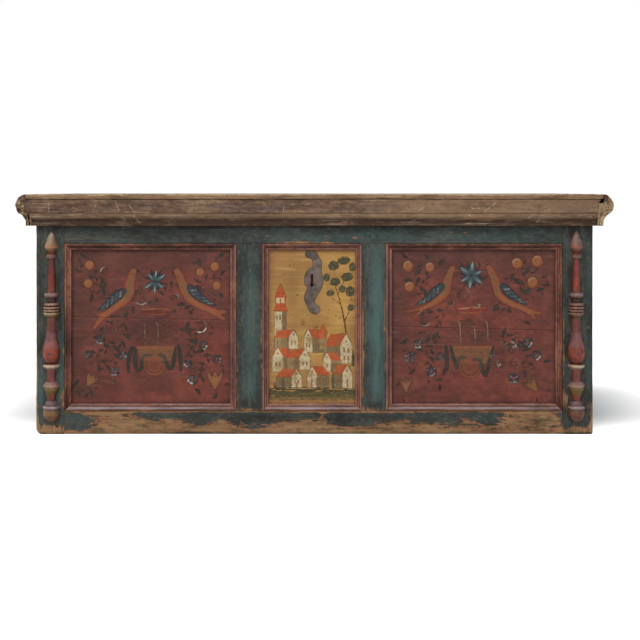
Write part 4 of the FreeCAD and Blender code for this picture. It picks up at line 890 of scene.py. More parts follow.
# Both red panels are laid out in pixels of an enlarged view of the photograph
leftPlan = {
    "pixel": 0.3214, "cornerX": -712.6, "cornerZ": 554.4, "roseRings": 0.12,
    "roses": ((255, 262, 43), (243, 420, 41), (1350, 275, 42), (1222, 322, 40), (1366, 440, 40)),
    "wornRoses": (
        (392, 318, 44, 0.8, -2.1), (704, 545, 62, 0.8, 0.2), (990, 550, 46, 0.8, 2.3), (1218, 792, 58, 1.3, 0.7),
        (447, 820, 40, 0.55, 1.2), (270, 1120, 28, 0.45, 0.6), (470, 1275, 28, 0.5, 2.0)),
    "daisies": (
        (352, 915, 42, 4.2, 0.85), (245, 1038, 41, 3.5, 0.4), (546, 1048, 40, 5.6, 0.55), (475, 1188, 47, 4.5, 0.6),
        (1250, 958, 43, 5.4, 0.85), (1112, 1118, 42, 3.9, 0.85), (1155, 1262, 50, 3.8, 1.0),
        (1366, 1078, 47, 5.9, 0.5)),
    "scuffs": (
        (705, 540, 50, 50, 12), (975, 556, 60, 44, 14), (447, 826, 50, 50, 14), (268, 1120, 34, 40, 10),
        (930, 1340, 80, 44, 16), (1100, 860, 70, 70, 14), (470, 1270, 30, 34, 8), (400, 320, 50, 40, 8),
        (820, 560, 70, 40, 8), (1230, 270, 40, 30, 6), (1400, 1030, 30, 60, 6)),
    "star": (824, 402, 96, 0.74), "starAngles": (1.45, 0.58, -0.66, -1.58, -2.55, 2.29),
    "birds": (
        {
            "body": (
                (638, 314, 30), (622, 360, 38), (606, 420, 46), (594, 490, 52), (560, 558, 48), (496, 616, 35),
                (430, 664, 31), (376, 702, 30)),
            "tails": (((376, 702, 28), (332, 752, 24), (296, 806, 17)), ((384, 690, 22), (318, 692, 7))),
            "wing": ((550, 486, 28), (502, 522, 44), (442, 572, 38), (384, 620, 22), (328, 653, 7)),
            "beak": (675, 314, 12)},
        {
            "body": (
                (1018, 312, 29), (1040, 360, 37), (1068, 425, 42), (1092, 490, 44), (1128, 552, 41), (1195, 602, 32),
                (1270, 636, 30), (1338, 664, 31)),
            "tails": (
                ((1338, 664, 30), (1385, 670, 23), (1440, 668, 13)),
                ((1338, 666, 28), (1380, 700, 24), (1424, 730, 15))),
            "wing": ((1134, 458, 32), (1174, 502, 43), (1232, 552, 33), (1295, 588, 18), (1355, 612, 7)),
            "beak": (984, 322, 8)}),
    "branches": (
        ((410, 560), (350, 470), (318, 400), (290, 320)), ((400, 470), (398, 420), (394, 370)),
        ((350, 480), (300, 500), (260, 520)), ((255, 210), (240, 180), (200, 200)),
        ((190, 330), (175, 280), (180, 240)), ((1250, 560), (1230, 470), (1225, 380)),
        ((1260, 400), (1330, 362), (1420, 346)), ((1240, 270), (1225, 225), (1185, 215)),
        ((1355, 225), (1375, 190), (1385, 170)), ((1380, 490), (1385, 530), (1340, 550)),
        ((640, 600), (575, 660), (566, 760), (552, 860), (540, 930)),
        ((520, 680), (440, 740), (380, 790), (362, 866)), ((540, 930), (470, 950), (400, 990), (300, 1030)),
        ((470, 950), (466, 1060), (476, 1140)), ((440, 1060), (400, 1100), (372, 1180)),
        ((690, 430), (680, 500), (640, 560)), ((1010, 600), (1060, 640), (1150, 662)),
        ((1010, 640), (960, 660), (900, 640)), ((1120, 700), (1124, 760), (1090, 830), (1130, 950), (1124, 1060)),
        ((1080, 830), (1160, 880), (1220, 920)), ((1130, 960), (1210, 1040), (1310, 1080)),
        ((1200, 1100), (1250, 1160), (1230, 1230)), ((1270, 790), (1320, 790)), ((1290, 850), (1310, 870)),
        ((860, 470), (850, 540), (800, 600)), ((900, 500), (960, 470), (1000, 430)),
        ((220, 1320), (190, 1360), (150, 1390)), ((260, 1330), (250, 1380)), ((170, 1250), (140, 1260)),
        ((1350, 1330), (1370, 1390)), ((1420, 1290), (1440, 1320)), ((1180, 1320), (1170, 1360)),
        ((1390, 1120), (1420, 1170)), ((300, 1090), (340, 1130))),
    "tulips": ((260, 1268, 104, 1.0, 0.9), (1348, 1272, 128, 1.57, 1.0)),
    "vase": {
        "rim": (690, 985, 632, 698, 0.45), "body": (836, 838, 262, 112), "veins": ((738, 760, 950), (852, 758, 950)),
        "veinWidth": 1.0, "cup": ((660, 962), (1000, 962), (968, 1098), (700, 1098)), "base": (820, 1128, 98),
        "scrolls": (
            ((622, 978), (602, 1040), (592, 1120), (598, 1192)),
            ((1030, 966), (1046, 1040), (1050, 1110), (1050, 1180)),
            ((650, 985), (652, 1080), (664, 1158), (690, 1176), (711, 1140), (712, 1085), (738, 1048), (800, 1042)),
            ((862, 1040), (906, 1060), (925, 1118), (955, 1160), (984, 1130), (996, 1060), (1002, 985)))},
    "smallDabs": (
        (890, 1250, 14, "white", 0.4), (905, 1340, 16, "blueLight", 0.35), (960, 1345, 18, "blueLight", 0.35),
        (1035, 850, 10, "white", 0.5), (1415, 645, 8, "white", 0.5), (1460, 268, 8, "white", 0.5),
        (1325, 545, 10, "rose", 0.6), (1000, 1385, 10, "white", 0.3), (875, 550, 12, "white", 0.4)),
}
rightPlan = {
    "pixel": 0.33929, "cornerX": 183.4, "cornerZ": 554.4, "roseRings": 0.85,
    "roses": ((235, 255, 47), (415, 264, 42), (246, 426, 45), (1136, 232, 47), (1302, 214, 50), (1264, 390, 48)),
    "wornRoses": (
        (368, 706, 46, 0.9, 0.6), (690, 500, 66, 0.55, 2.2), (1080, 930, 54, 0.8, 2.6), (582, 556, 30, 0.9, 1.2),
        (800, 560, 40, 0.7, 0.3), (1100, 1060, 50, 0.6, 1.6), (1010, 1060, 44, 0.7, 5.0)),
    "daisies": (
        (320, 898, 44, 4.5, 0.85), (240, 1015, 43, 3.2, 0.45), (500, 1004, 44, 5.2, 0.3), (426, 1124, 50, 5.1, 0.5),
        (1225, 882, 48, 5.5, 0.75), (1297, 990, 46, 5.3, 0.9), (1106, 1182, 52, 4.7, 0.5)),
    "scuffs": (
        (690, 490, 80, 60, 30), (1050, 930, 110, 30, 26), (925, 1000, 34, 60, 18), (1030, 1060, 100, 70, 34),
        (1090, 1200, 90, 50, 20), (360, 706, 44, 44, 12), (1130, 720, 50, 60, 12), (240, 1010, 60, 60, 10),
        (1240, 800, 40, 40, 10), (582, 556, 30, 40, 8), (460, 630, 60, 30, 8)),
    "star": (755, 332, 99, 1.0), "starAngles": (1.47, 0.39, -0.62, -1.71, -2.62, 2.50),
    "birds": (
        {
            "body": (
                (603, 264, 22), (584, 308, 30), (564, 360, 38), (548, 420, 42), (530, 482, 43), (480, 532, 34),
                (425, 570, 24), (372, 594, 18)),
            "tails": (
                ((372, 592, 16), (300, 614, 12), (222, 632, 8)), ((366, 600, 14), (322, 642, 11), (286, 684, 7))),
            "wing": ((505, 424, 32), (455, 466, 38), (400, 515, 30), (345, 552, 16), (298, 572, 6)),
            "beak": (590, 246, 6)},
        {
            "body": (
                (902, 262, 26), (924, 308, 33), (948, 365, 39), (964, 425, 38), (980, 482, 34), (1030, 532, 31),
                (1100, 570, 29), (1175, 600, 27), (1235, 628, 26)),
            "tails": (
                ((1235, 628, 24), (1280, 636, 18), (1322, 642, 13)),
                ((1235, 632, 22), (1262, 662, 14), (1284, 692, 7))),
            "wing": ((1022, 425, 32), (1064, 466, 37), (1115, 511, 28), (1165, 545, 14), (1212, 570, 6)),
            "beak": (890, 244, 6)}),
    "branches": (
        ((400, 540), (350, 470), (290, 360), (310, 240)), ((380, 470), (360, 400), (400, 330)),
        ((235, 205), (235, 180)), ((165, 215), (190, 205)), ((410, 210), (412, 185)), ((185, 360), (200, 375)),
        ((200, 490), (180, 480)), ((270, 500), (300, 500)), ((470, 250), (500, 250)),
        ((1230, 540), (1190, 430), (1200, 320), (1190, 240)), ((1190, 420), (1090, 380), (1050, 330)),
        ((1200, 320), (1250, 305), (1300, 308)), ((1150, 470), (1240, 460), (1340, 470)), ((1320, 350), (1370, 360)),
        ((1140, 180), (1130, 150)), ((1300, 165), (1290, 130)), ((1180, 490), (1250, 490)),
        ((1330, 400), (1350, 430)), ((560, 590), (500, 630), (480, 700), (486, 790), (478, 880)),
        ((450, 640), (400, 600), (360, 650)), ((480, 800), (400, 830), (350, 800)),
        ((470, 880), (420, 930), (400, 1010), (410, 1070)), ((400, 940), (330, 960), (270, 1000)),
        ((240, 860), (210, 850)), ((180, 930), (190, 960)), ((520, 1050), (545, 1100)), ((300, 1100), (240, 1110)),
        ((400, 1180), (380, 1220)), ((460, 1190), (500, 1230)), ((700, 260), (700, 220)), ((820, 260), (840, 220)),
        ((900, 340), (850, 330)), ((640, 300), (680, 280)), ((900, 580), (980, 570), (1010, 560)),
        ((930, 630), (1020, 620), (1100, 600)), ((1180, 700), (1190, 740)), ((1030, 720), (1040, 790), (1020, 860)),
        ((1040, 830), (1120, 860), (1180, 880)), ((1120, 900), (1190, 960), (1240, 1000)),
        ((1190, 980), (1220, 1060), (1180, 1120)), ((1240, 1100), (1270, 1120)), ((1340, 1040), (1360, 1060)),
        ((130, 1240), (160, 1240)), ((190, 1320), (180, 1350)), ((1350, 1280), (1370, 1290)),
        ((1300, 1330), (1290, 1350))),
    "tulips": ((216, 1238, 104, 1.6, 0.85), (1262, 1240, 118, 2.2, 0.75)),
    "vase": {
        "rim": (620, 890, 590, 648, 0.95), "body": (765, 790, 225, 100),
        "veins": ((664, 705, 885), (786, 740, 885), (890, 705, 880)), "veinWidth": 1.7,
        "cup": ((590, 910), (932, 910), (884, 1062), (640, 1062)), "base": (745, 1084, 98),
        "scrolls": (
            ((546, 915), (552, 980), (556, 1050), (558, 1108)), ((588, 918), (606, 1000), (634, 1094)),
            ((634, 1094), (644, 1040), (668, 1010), (706, 1008)),
            ((778, 1024), (826, 1036), (846, 1110), (872, 1156), (896, 1090), (914, 1000), (934, 928)))},
    "smallDabs": (
        (782, 1292, 26, "orange", 0.85), (930, 1000, 22, "blueLight", 0.5), (990, 1070, 14, "white", 0.7),
        (950, 980, 16, "white", 0.4), (1110, 920, 18, "white", 0.55), (1050, 930, 18, "blueLight", 0.5),
        (1130, 1060, 18, "rose", 0.6), (1000, 1190, 12, "white", 0.45), (820, 575, 14, "white", 0.6),
        (830, 880, 6, "white", 0.6), (225, 828, 8, "white", 0.5), (1225, 795, 14, "blueLight", 0.5)),
}


def paintBirdPanel(front, plan, seed):
    pixel = plan["pixel"]

    def at(px, py):
        return plan["cornerX"] + px * pixel, plan["cornerZ"] - py * pixel

    def sized(path):
        return [(*at(px, py), half * pixel) for px, py, half in path]

    vase = plan["vase"]
    (x, z), (wide, tall) = at(*vase["body"][:2]), vase["body"][2:]
    for rise, share, strength in ((0, 1.0, 0.34), (8, 0.8, 0.40)):
        front.dab(x, z + rise, wide * share * pixel, tall * share * pixel, "vase", strength, 0.0, 5.0)
    for k, path in enumerate(plan["branches"]):
        paintBranch(front, [at(*spot) for spot in path], 20.0, seed + k, 0.82)
    left, right, high, low, bright = vase["rim"]
    (x0, z0), (x1, z1) = at(left, high), at(right, low)
    middle, deep = (x0 + x1) / 2, z0 - z1
    front.patch([(x0, z0 - 2), (x0 + 8, z1 + 3), (middle, z1), (x1 - 8, z1 + 3), (x1, z0 - 2), (middle, z0)],
                "rose", 0.5 + 0.4 * bright, 2.5)
    for inset, end, centre, widths in ((4, z0 - deep * 0.2, z0 - 1.5, (1.6, 2.6, 1.6)),
                                       (9, z1 + deep * 0.24, z1 + 2, (1.0, 2.2, 1.0))):
        front.stroke([(x0 + inset, end), (middle, centre), (x1 - inset, end)], widths, "orange", 0.6 + 0.35 * bright)
    front.stroke([(x0 + 10, z0 - deep * 0.3), (middle - 8, z0 - deep * 0.2)], (0.8, 1.8), "cream", 0.8 * bright)
    thick = vase["veinWidth"]
    for px, top, foot in vase["veins"]:
        front.stroke([at(px - 24, top), at(px - 4, top + 22), at(px, top + 80), at(px + 4, foot)],
                     (0.6, thick, thick, thick * 0.7), "cream", 0.75)
    front.patch([at(*corner) for corner in vase["cup"]], "ochre", 0.9, 2.5)
    (x0, z0), (x1, _) = at(*vase["cup"][0]), at(*vase["cup"][1])
    front.patch([(x0, z0), (x1, z0), (x1 - 2, z0 - 9), (x0 + 2, z0 - 9)], "orange", 0.5, 2.5)
    (x, z), across = at(*vase["base"][:2]), vase["base"][2] * pixel
    front.dab(x, z, across, across, "brown", 0.85, 0.0, 2.5)
    front.dab(x, z, across * 0.7, across * 0.7, "rose", 0.3, 0.0, 4.0)
    for size, strength in ((0.9, 0.75), (0.52, 0.4)):
        front.stroke(ringPath(x, z, across * size, 2.9, 3.6, 9), (1.0, 2.6, 1.0), "orange", strength)
    for path in vase["scrolls"]:
        front.stroke([at(*spot) for spot in path], (4.2, 5.4, 5.0, 3.2), "scroll", 0.85, 2.5)
    for px, py, size, strength, turn in plan["wornRoses"]:
        paintWornRose(front, *at(px, py), size * pixel, strength, turn)
    for px, py, size in plan["roses"]:
        paintRose(front, *at(px, py), size * pixel, plan["roseRings"])
    for k, (px, py, size, lit, strength) in enumerate(plan["daisies"]):
        paintDaisy(front, *at(px, py), size * pixel, seed + k, lit, strength)
    for k, (px, py, reachX, reachZ, count) in enumerate(plan["scuffs"]):
        paintScuffs(front, *at(px, py), reachX * pixel, reachZ * pixel, count, seed * 7 + k)
    px, py, size, slim = plan["star"]
    paintStar(front, *at(px, py), size * pixel, slim, plan["starAngles"])
    for px, py, size, turn, strength in plan["tulips"]:
        paintTulip(front, *at(px, py), size * pixel, turn, strength)
    for bird in plan["birds"]:
        paintBird(front, sized(bird["body"]), [sized(path) for path in bird["tails"]], sized(bird["wing"]),
                  sized([bird["beak"]])[0])
    for px, py, size, look, strength in plan["smallDabs"]:
        x, z = at(px, py)
        front.dab(x, z, size * pixel, size * pixel * 0.7, look, strength, 0.6)


redGround = {
    "base": (108, 59, 51), "brown": (86, 55, 48), "bright": (134, 68, 54), "dark": (50, 31, 28),
    "pale": (142, 84, 70), "speckle": 0.27,
    # soft shades: x from the opening's left, middle or right, z, reach across and up, colour, strength
    "shades": (
        ("left", 20, 300, 60, 260, "brown", 0.75), ("middle", 0, 507, 260, 42, "brown", 0.7),
        ("right", -20, 430, 50, 160, "brown", 0.6), ("left", 60, 492, 90, 60, "brown", 0.5),
        ("right", -70, 250, 80, 70, "bright", 0.7), ("right", -120, 120, 150, 30, "bright", 0.75),
        ("left", 130, 200, 90, 40, "bright", 0.45), ("middle", 40, 125, 120, 35, "bright", 0.4),
        ("left", 90, 420, 60, 30, "bright", 0.3), ("middle", -20, 240, 120, 50, "brown", 0.3),
        ("right", -40, 422, 60, 40, "bright", 0.3), ("left", 20, 87, 70, 14, "bright", 0.6),
        # the dark line at z 513 is a painted shadow under the top moulding
        ("middle", 0, 513, 400, 5, "dark", 0.75), ("middle", 0, 85, 400, 5, "dark", 0.35),
        ("left", 19, 300, 5, 400, "dark", 0.6), ("right", -19, 300, 5, 400, "dark", 0.4)),
}


def groundRed(front, left, right, seed, more):
    front.ground[:] = redGround["base"]
    for x, z, reachX, reachZ, colour, strength in more:
        front.shade(x, z, reachX, reachZ, redGround[colour], strength)
    starts = {"left": left, "middle": (left + right) / 2, "right": right}
    for start, shift, z, reachX, reachZ, colour, strength in redGround["shades"]:
        front.shade(starts[start] + shift, z, reachX, reachZ, redGround[colour], strength)
    speckle = layered(front.spots, 30, seed, 4, (1.6, 1, 1)) + 0.6 * layered(front.spots, 9, seed + 2, 3, (1.5, 1, 1))
    front.ground *= (1 + redGround["speckle"] * speckle)[:, None]
    front.worn += 0.10 * np.clip(layered(front.spots, 60, seed + 9, 3), 0, 1)


panelLook = {"wave": 0.7, "ease": 0.9, "chip": 1.6, "gap": 1.6, "slot": "panel_red", "finish": redPaint}
redPanels = {
    "left": {
        "opening": chest["leftOpening"], "plan": leftPlan, "jointRise": 261.0, "jointFall": 11.0, "seed": 3,
        "shades": ((-560, 360, 120, 60, "brown", 0.4), (-668, 430, 16, 60, "brown", 0.5))},
    "right": {
        "opening": chest["rightOpening"], "plan": rightPlan, "jointRise": 235.0, "jointFall": 14.0, "seed": 11,
        "shades": (
            (300, 330, 140, 60, "bright", 0.9), (470, 330, 160, 70, "bright", 0.5), (250, 150, 70, 40, "bright", 0.4),
            (612, 430, 26, 60, "brown", 0.6))},
}


def level(z):
    # an edge of a board at the same height all along
    return lambda x: np.full(np.shape(x), z, float)


for side, panel in redPanels.items():
    left, right = panel["opening"][0] - chest["groove"], panel["opening"][1] + chest["groove"]
    low, high = chest["openingLow"] - chest["groove"], chest["openingHigh"] + chest["groove"]
    jointLeft = chest["openingLow"] + panel["jointRise"]

    def joint(x, first=left - 5, last=right + 5, start=jointLeft, fall=panel["jointFall"]):
        return start - fall * (np.asarray(x, float) - first) / (last - first)

    for part, zLow, zHigh in (("upper", joint, level(high)), ("lower", level(low), joint)):
        front = PaintedFront(left, right, zLow, zHigh, panelLook["gap"], panel["seed"], paints)
        groundRed(front, *panel["opening"], panel["seed"], panel["shades"])
        paintBirdPanel(front, panel["plan"], panel["seed"])
        # a dark line above the joint of the two boards, and below it a pale one: a painted highlight on the lower
        # board's edge
        away = np.abs(front.z - joint(front.x))
        line, most = (redGround["dark"], 0.95) if part == "upper" else (redGround["pale"], 0.5)
        uneven = np.clip(0.75 + layered(front.spots, 90, panel["seed"], 2), 0, 1)
        share = most * np.clip(1.2 - away / 2.4, 0, 1) * uneven
        front.ground += (np.array(line, float) - front.ground) * share[:, None]
        front.cover *= 1 - share
        front.build("front_panel_" + side + "_" + part, {**panelLook, "seed": panel["seed"] + (part == "lower")})
    print(side, "panel painted")


# The yellow middle panel: a made-up village of towers, gabled houses and a tree
village = {
    "ground": (178, 136, 80), "glow": (200, 156, 76), "brown": (146, 104, 64), "grass": (84, 82, 50),
    "earth": (198, 144, 88), "wall": (222, 202, 160), "wallShade": (150, 128, 90), "roof": (196, 90, 50),
    "roofDark": (156, 64, 38), "window": (98, 58, 42), "door": (152, 78, 54), "crown": (62, 72, 54),
    "crownLight": (98, 98, 64), "footSeam": (92, 52, 42), "headShadow": (92, 62, 42), "twig": (112, 66, 38),
    "hole": (52, 38, 30), "stain": (134, 96, 58),
    "stains": {"count": 90, "seed": 29, "reach": (2.5, 12.0), "strength": (0.12, 0.42), "soft": 5.0},
    "flecks": {"count": 70, "seed": 31, "length": (2.0, 8.0)},
    # soft shades of the ground: x, z, reach across and up, colour, strength
    # the brown band at z 520 and the headShadow line are a painted shadow under the top moulding
    "shades": (
        (-86, 470, 60, 50, "brown", 0.35), (-7, 260, 60, 60, "glow", 0.5), (92, 400, 50, 60, "glow", 0.6),
        (-116, 330, 50, 60, "glow", 0.45), (3, 330, 40, 30, "brown", 0.3), (-7, 520, 160, 12, "brown", 0.6),
        (-126, 300, 12, 240, "brown", 0.55), (112, 300, 12, 240, "brown", 0.5), (-7, 150, 90, 40, "brown", 0.3),
        (82, 490, 50, 16, "glow", 0.6), (-60, 420, 20, 90, "stain", 0.4), (50, 400, 16, 70, "stain", 0.35),
        (-20, 300, 90, 8, "stain", 0.35), (-122, 480, 26, 60, "stain", 0.4), (60, 250, 30, 90, "glow", 0.5),
        (-7, 82, 200, 4, "footSeam", 0.8), (-7, 515, 200, 4, "headShadow", 0.7)),
    # the tree: limbs with their half widths and strength, crowns as x, z, half width and half height
    "limbs": (
        (((92, 236), (86, 300), (74, 360), (60, 408)), (2.6, 2.0, 1.4, 0.9), 0.85),
        (((84, 312), (100, 350), (104, 384)), (1.3, 0.9, 0.5), 0.8),
        (((74, 360), (54, 376), (40, 384)), (1.3, 0.9, 0.5), 0.8),
        (((66, 392), (84, 430), (96, 452)), (1.3, 0.9, 0.5), 0.8),
        (((60, 408), (58, 440), (50, 470)), (1.3, 0.9, 0.5), 0.8)),
    "crowns": (
        (100, 398, 14, 16), (44, 392, 12, 10), (58, 424, 16, 13), (92, 438, 18, 14), (54, 470, 17, 15),
        (82, 484, 20, 13), (106, 466, 10, 14), (34, 436, 10, 12), (78, 404, 11, 11), (102, 352, 11, 10)),
    # towers: corner, width, height, roofs as height and pinch from the eaves up, floors
    "towers": (
        (-112, 214, 34, 128, ((22, 0.62), (16, 1.0), (12, 0.72), (28, 0.06)), 3),
        (14, 236, 20, 44, ((26, 0.08),), 1)),
    "lantern": {"low": (-107, 364), "high": (-84, 380), "window": ((-95, 366), (-95, 376))},
    "doors": (-8, 92, -50, -112), "bushes": ((52, 128, 40), (-88, 128, 30), (108, 190, 44)),
    "holes": ((-70, 470, 2.4), (-48, 388, 2.8), (40, 346, 2.4), (60, 330, 1.8), (-84, 446, 1.6), (8, 296, 1.8)),
    # gabled houses from the back row forward: corner, width, height, roof, length, windows across and up, side
    "houses": (
        (-72, 236, 26, 34, 20, 42, (2, 1), -1), (-30, 226, 24, 42, 24, 40, (2, 1), 1),
        (72, 196, 34, 52, 30, 46, (2, 2), -1), (-118, 172, 30, 44, 24, 30, (2, 1), 1),
        (-42, 178, 30, 36, 22, 34, (2, 1), -1), (24, 172, 22, 34, 20, 30, (1, 1), 1),
        (-64, 128, 28, 32, 20, 44, (2, 1), -1), (-20, 128, 26, 38, 22, 36, (1, 1), 1),
        (78, 126, 28, 42, 24, 30, (1, 1), -1)),
}
villageSeed = 23


def paintHouse(front, x, z, wide, tall, roofTall, run, windows, runSide):
    # a gabled front with its roof and long wall running off to one side
    far = x + wide + run if runSide > 0 else x - run
    near = x + wide if runSide > 0 else x
    front.patch([(near, z), (far, z), (far, z + tall * 0.92), (near, z + tall * 0.92)], "wallShade", 0.85)
    apex = (x + wide / 2, z + tall + roofTall)
    farTop = apex[0] + runSide * run * 0.95
    front.patch([(near, z + tall * 0.94), (far, z + tall * 0.90), (farTop, apex[1] - 1), apex], "roof", 0.97)
    for share in np.linspace(0.15, 0.9, 7):
        a = np.array(apex) * (1 - share) + np.array((farTop, apex[1] - 1)) * share
        b = np.array((near, z + tall)) * (1 - share) + np.array((far, z + tall * 0.9)) * share
        front.stroke([a * 0.85 + b * 0.15, a * 0.1 + b * 0.9], (0.5, 0.7), "roofDark", 0.5)
    front.patch([(x, z), (x + wide, z), (x + wide, z + tall), (x, z + tall)], "wall", 0.96)
    front.patch([(x, z + tall - 0.5), (x + wide, z + tall - 0.5), apex], "wall", 0.96)
    front.stroke([(x - 1, z + tall - 1), apex, (x + wide + 1, z + tall - 1)], (0.8, 1.1, 0.8), "roofDark", 0.75)
    front.dab(apex[0], z + tall + roofTall * 0.30, 2.2, 2.4, "window", 0.8)
    count, rows = windows
    for row in range(rows):
        for k in range(count):
            wx = x + wide * (k + 1) / (count + 1)
            wz = z + tall * (row + 0.62) / (rows + 0.25)
            front.stroke([(wx, wz - tall * 0.10), (wx, wz + tall * 0.10)], (1.9, 1.7), "window", 0.85)
    if run > 14:
        for share in (0.25, 0.5, 0.75):
            wx = near + (far - near) * share
            front.stroke([(wx, z + tall * 0.38), (wx, z + tall * 0.62)], (1.5, 1.4), "window", 0.6)


def paintTower(front, x, z, wide, tall, roofs, floors):
    front.patch([(x, z), (x + wide * 0.62, z), (x + wide * 0.62, z + tall), (x, z + tall)], "wall", 0.96)
    front.patch([(x + wide * 0.62, z), (x + wide, z), (x + wide, z + tall), (x + wide * 0.62, z + tall)],
                "wallShade", 0.85)
    for floor in range(floors):
        wz = z + tall * (floor + 0.6) / floors
        for share in (0.2, 0.45, 0.8):
            front.stroke([(x + wide * share, wz - 5), (x + wide * share, wz + 4)], (2.0, 1.8), "window", 0.85)
        front.stroke([(x, wz - 11), (x + wide, wz - 11)], (0.6, 0.6), "brown", 0.6)
    base, half = z + tall, wide / 2 + 3
    for rise, pinch in roofs:
        middle = x + wide / 2
        front.patch([(middle - half, base), (middle + half, base), (middle + half * pinch, base + rise),
                     (middle - half * pinch, base + rise)], "roof", 0.97)
        front.stroke([(middle - half, base), (middle + half, base)], (0.9, 0.9), "roofDark", 0.8)
        base, half = base + rise, half * pinch * 1.15


def paintCrown(front, x, z, wide, tall, seed):
    # a soft dark heart with short leaf strokes running out of it
    front.dab(x, z, wide * 0.86, tall * 0.86, "crown", 0.6, 0.2, 5.0)
    for k in range(22):
        a, r = k * 2.4 + seed, 0.35 + 0.65 * math.sqrt((k + 0.5) / 22)
        out = heading(a)
        tip = np.array([x + out[0] * r * wide, z + out[1] * r * tall])
        front.stroke([tip - out * 6.5, tip - out * 3 + out[::-1] * 0.8, tip], (0.8, 2.1, 0.5),
                     "crownLight" if k % 4 == 0 else "crown", 0.85, 1.8)


def paintAge(front, low, high):
    # brown stains and short dark and pale flecks over the houses
    look, dice = village["stains"], np.random.default_rng(village["stains"]["seed"])
    for _ in range(look["count"]):
        x, z = dice.uniform(low[0], high[0]), dice.uniform(low[1], high[1])
        reach = dice.uniform(*look["reach"])
        front.dab(x, z, reach, reach * dice.uniform(0.4, 1.4), "stain", dice.uniform(*look["strength"]), 0.0,
                  look["soft"])
    look, dice = village["flecks"], np.random.default_rng(village["flecks"]["seed"])
    for k in range(look["count"]):
        at = np.array([dice.uniform(low[0], high[0]), dice.uniform(low[1], high[1])])
        out = np.array([dice.uniform(-1, 1), dice.uniform(-0.6, 0.6)]) * dice.uniform(*look["length"])
        front.stroke([at, at + out], (0.9, 0.4), ("window", "ground", "wall")[k % 3], dice.uniform(0.3, 0.7), 1.8)


def paintVillage(front):
    left, right = chest["centreOpening"]
    front.ground[:] = village["ground"]
    for x, z, reachX, reachZ, colour, strength in village["shades"]:
        front.shade(x, z, reachX, reachZ, village[colour], strength)
    front.ground *= (1 + 0.13 * layered(front.spots, 34, 71, 4, (1.6, 1, 1)))[:, None]
    front.patch([(left, 82), (right, 82), (right, 104), (left, 102)], "earth", 0.85, 3.0)
    for k in range(26):
        x = left + 14 + k * 10.4
        front.stroke([(x - 18, 109 + 4 * math.sin(k)), (x + 16, 112 + 5 * math.cos(k * 1.7))], (4.0, 5.5, 3.0),
                     "grass", 0.55, 3.0)
        for rise in (97, 104, 111, 118, 124):
            z = rise + 3 * math.sin(k * 2.2 + rise)
            front.stroke([(x - 12, z), (x + 3, z + 1.5 * math.sin(k * rise)), (x + 12, z)], (0.7, 1.9, 0.7),
                         "crown" if (k + rise) % 3 else "grass", 0.75, 2.0)
    for path, widths, strength in village["limbs"]:
        front.stroke(path, widths, "twig", strength)
    for k, crown in enumerate(village["crowns"]):
        paintCrown(front, *crown, k)
    for tower in village["towers"]:
        paintTower(front, *tower)
    lantern = village["lantern"]
    (x0, z0), (x1, z1) = lantern["low"], lantern["high"]
    front.patch([(x0, z0), (x1, z0), (x1, z1), (x0, z1)], "wall", 0.9)
    front.stroke(lantern["window"], (2.0, 2.0), "window", 0.9)
    for house in village["houses"]:
        paintHouse(front, *house)
    for x in village["doors"]:
        front.stroke([(x, 129), (x, 141)], (2.6, 2.2), "door", 0.85)
    for x, z, tall in village["bushes"]:
        front.stroke([(x, z), (x, z + tall * 0.5), (x, z + tall)], (3.0, 4.4, 1.0), "crown", 0.85)
    paintAge(front, (left + 16, 122), (right - 16, 330))
    for x, z, reach in village["holes"]:
        front.dab(x, z, reach, reach * 0.8, "hole", 0.9)
    front.worn += 0.16 * np.clip(layered(front.spots, 44, 77, 3), 0, 1)
    front.worn += 0.20 * np.exp(-((front.x + 90) / 40) ** 2 - ((front.z - 496) / 14) ** 2)


left, right = chest["centreOpening"][0] - chest["groove"], chest["centreOpening"][1] + chest["groove"]
low, high = chest["openingLow"] - chest["groove"], chest["openingHigh"] + chest["groove"]
front = PaintedFront(left, right, level(low), level(high), panelLook["gap"], villageSeed, village)
paintVillage(front)
front.build(
    "front_panel_centre",
    {
        **panelLook, "slot": "panel_ochre", "finish": ochrePaint, "seed": villageSeed,
        # the keyhole pit's near-black tone is painted shade for the inside of the lock
        "hole": {"x": -7.0, "z": 416.0, "radius": 6.6, "slot": 4.0, "top": 448.0, "skin": 0.6, "tone": (10, 8, 7)}})
print("village panel painted")


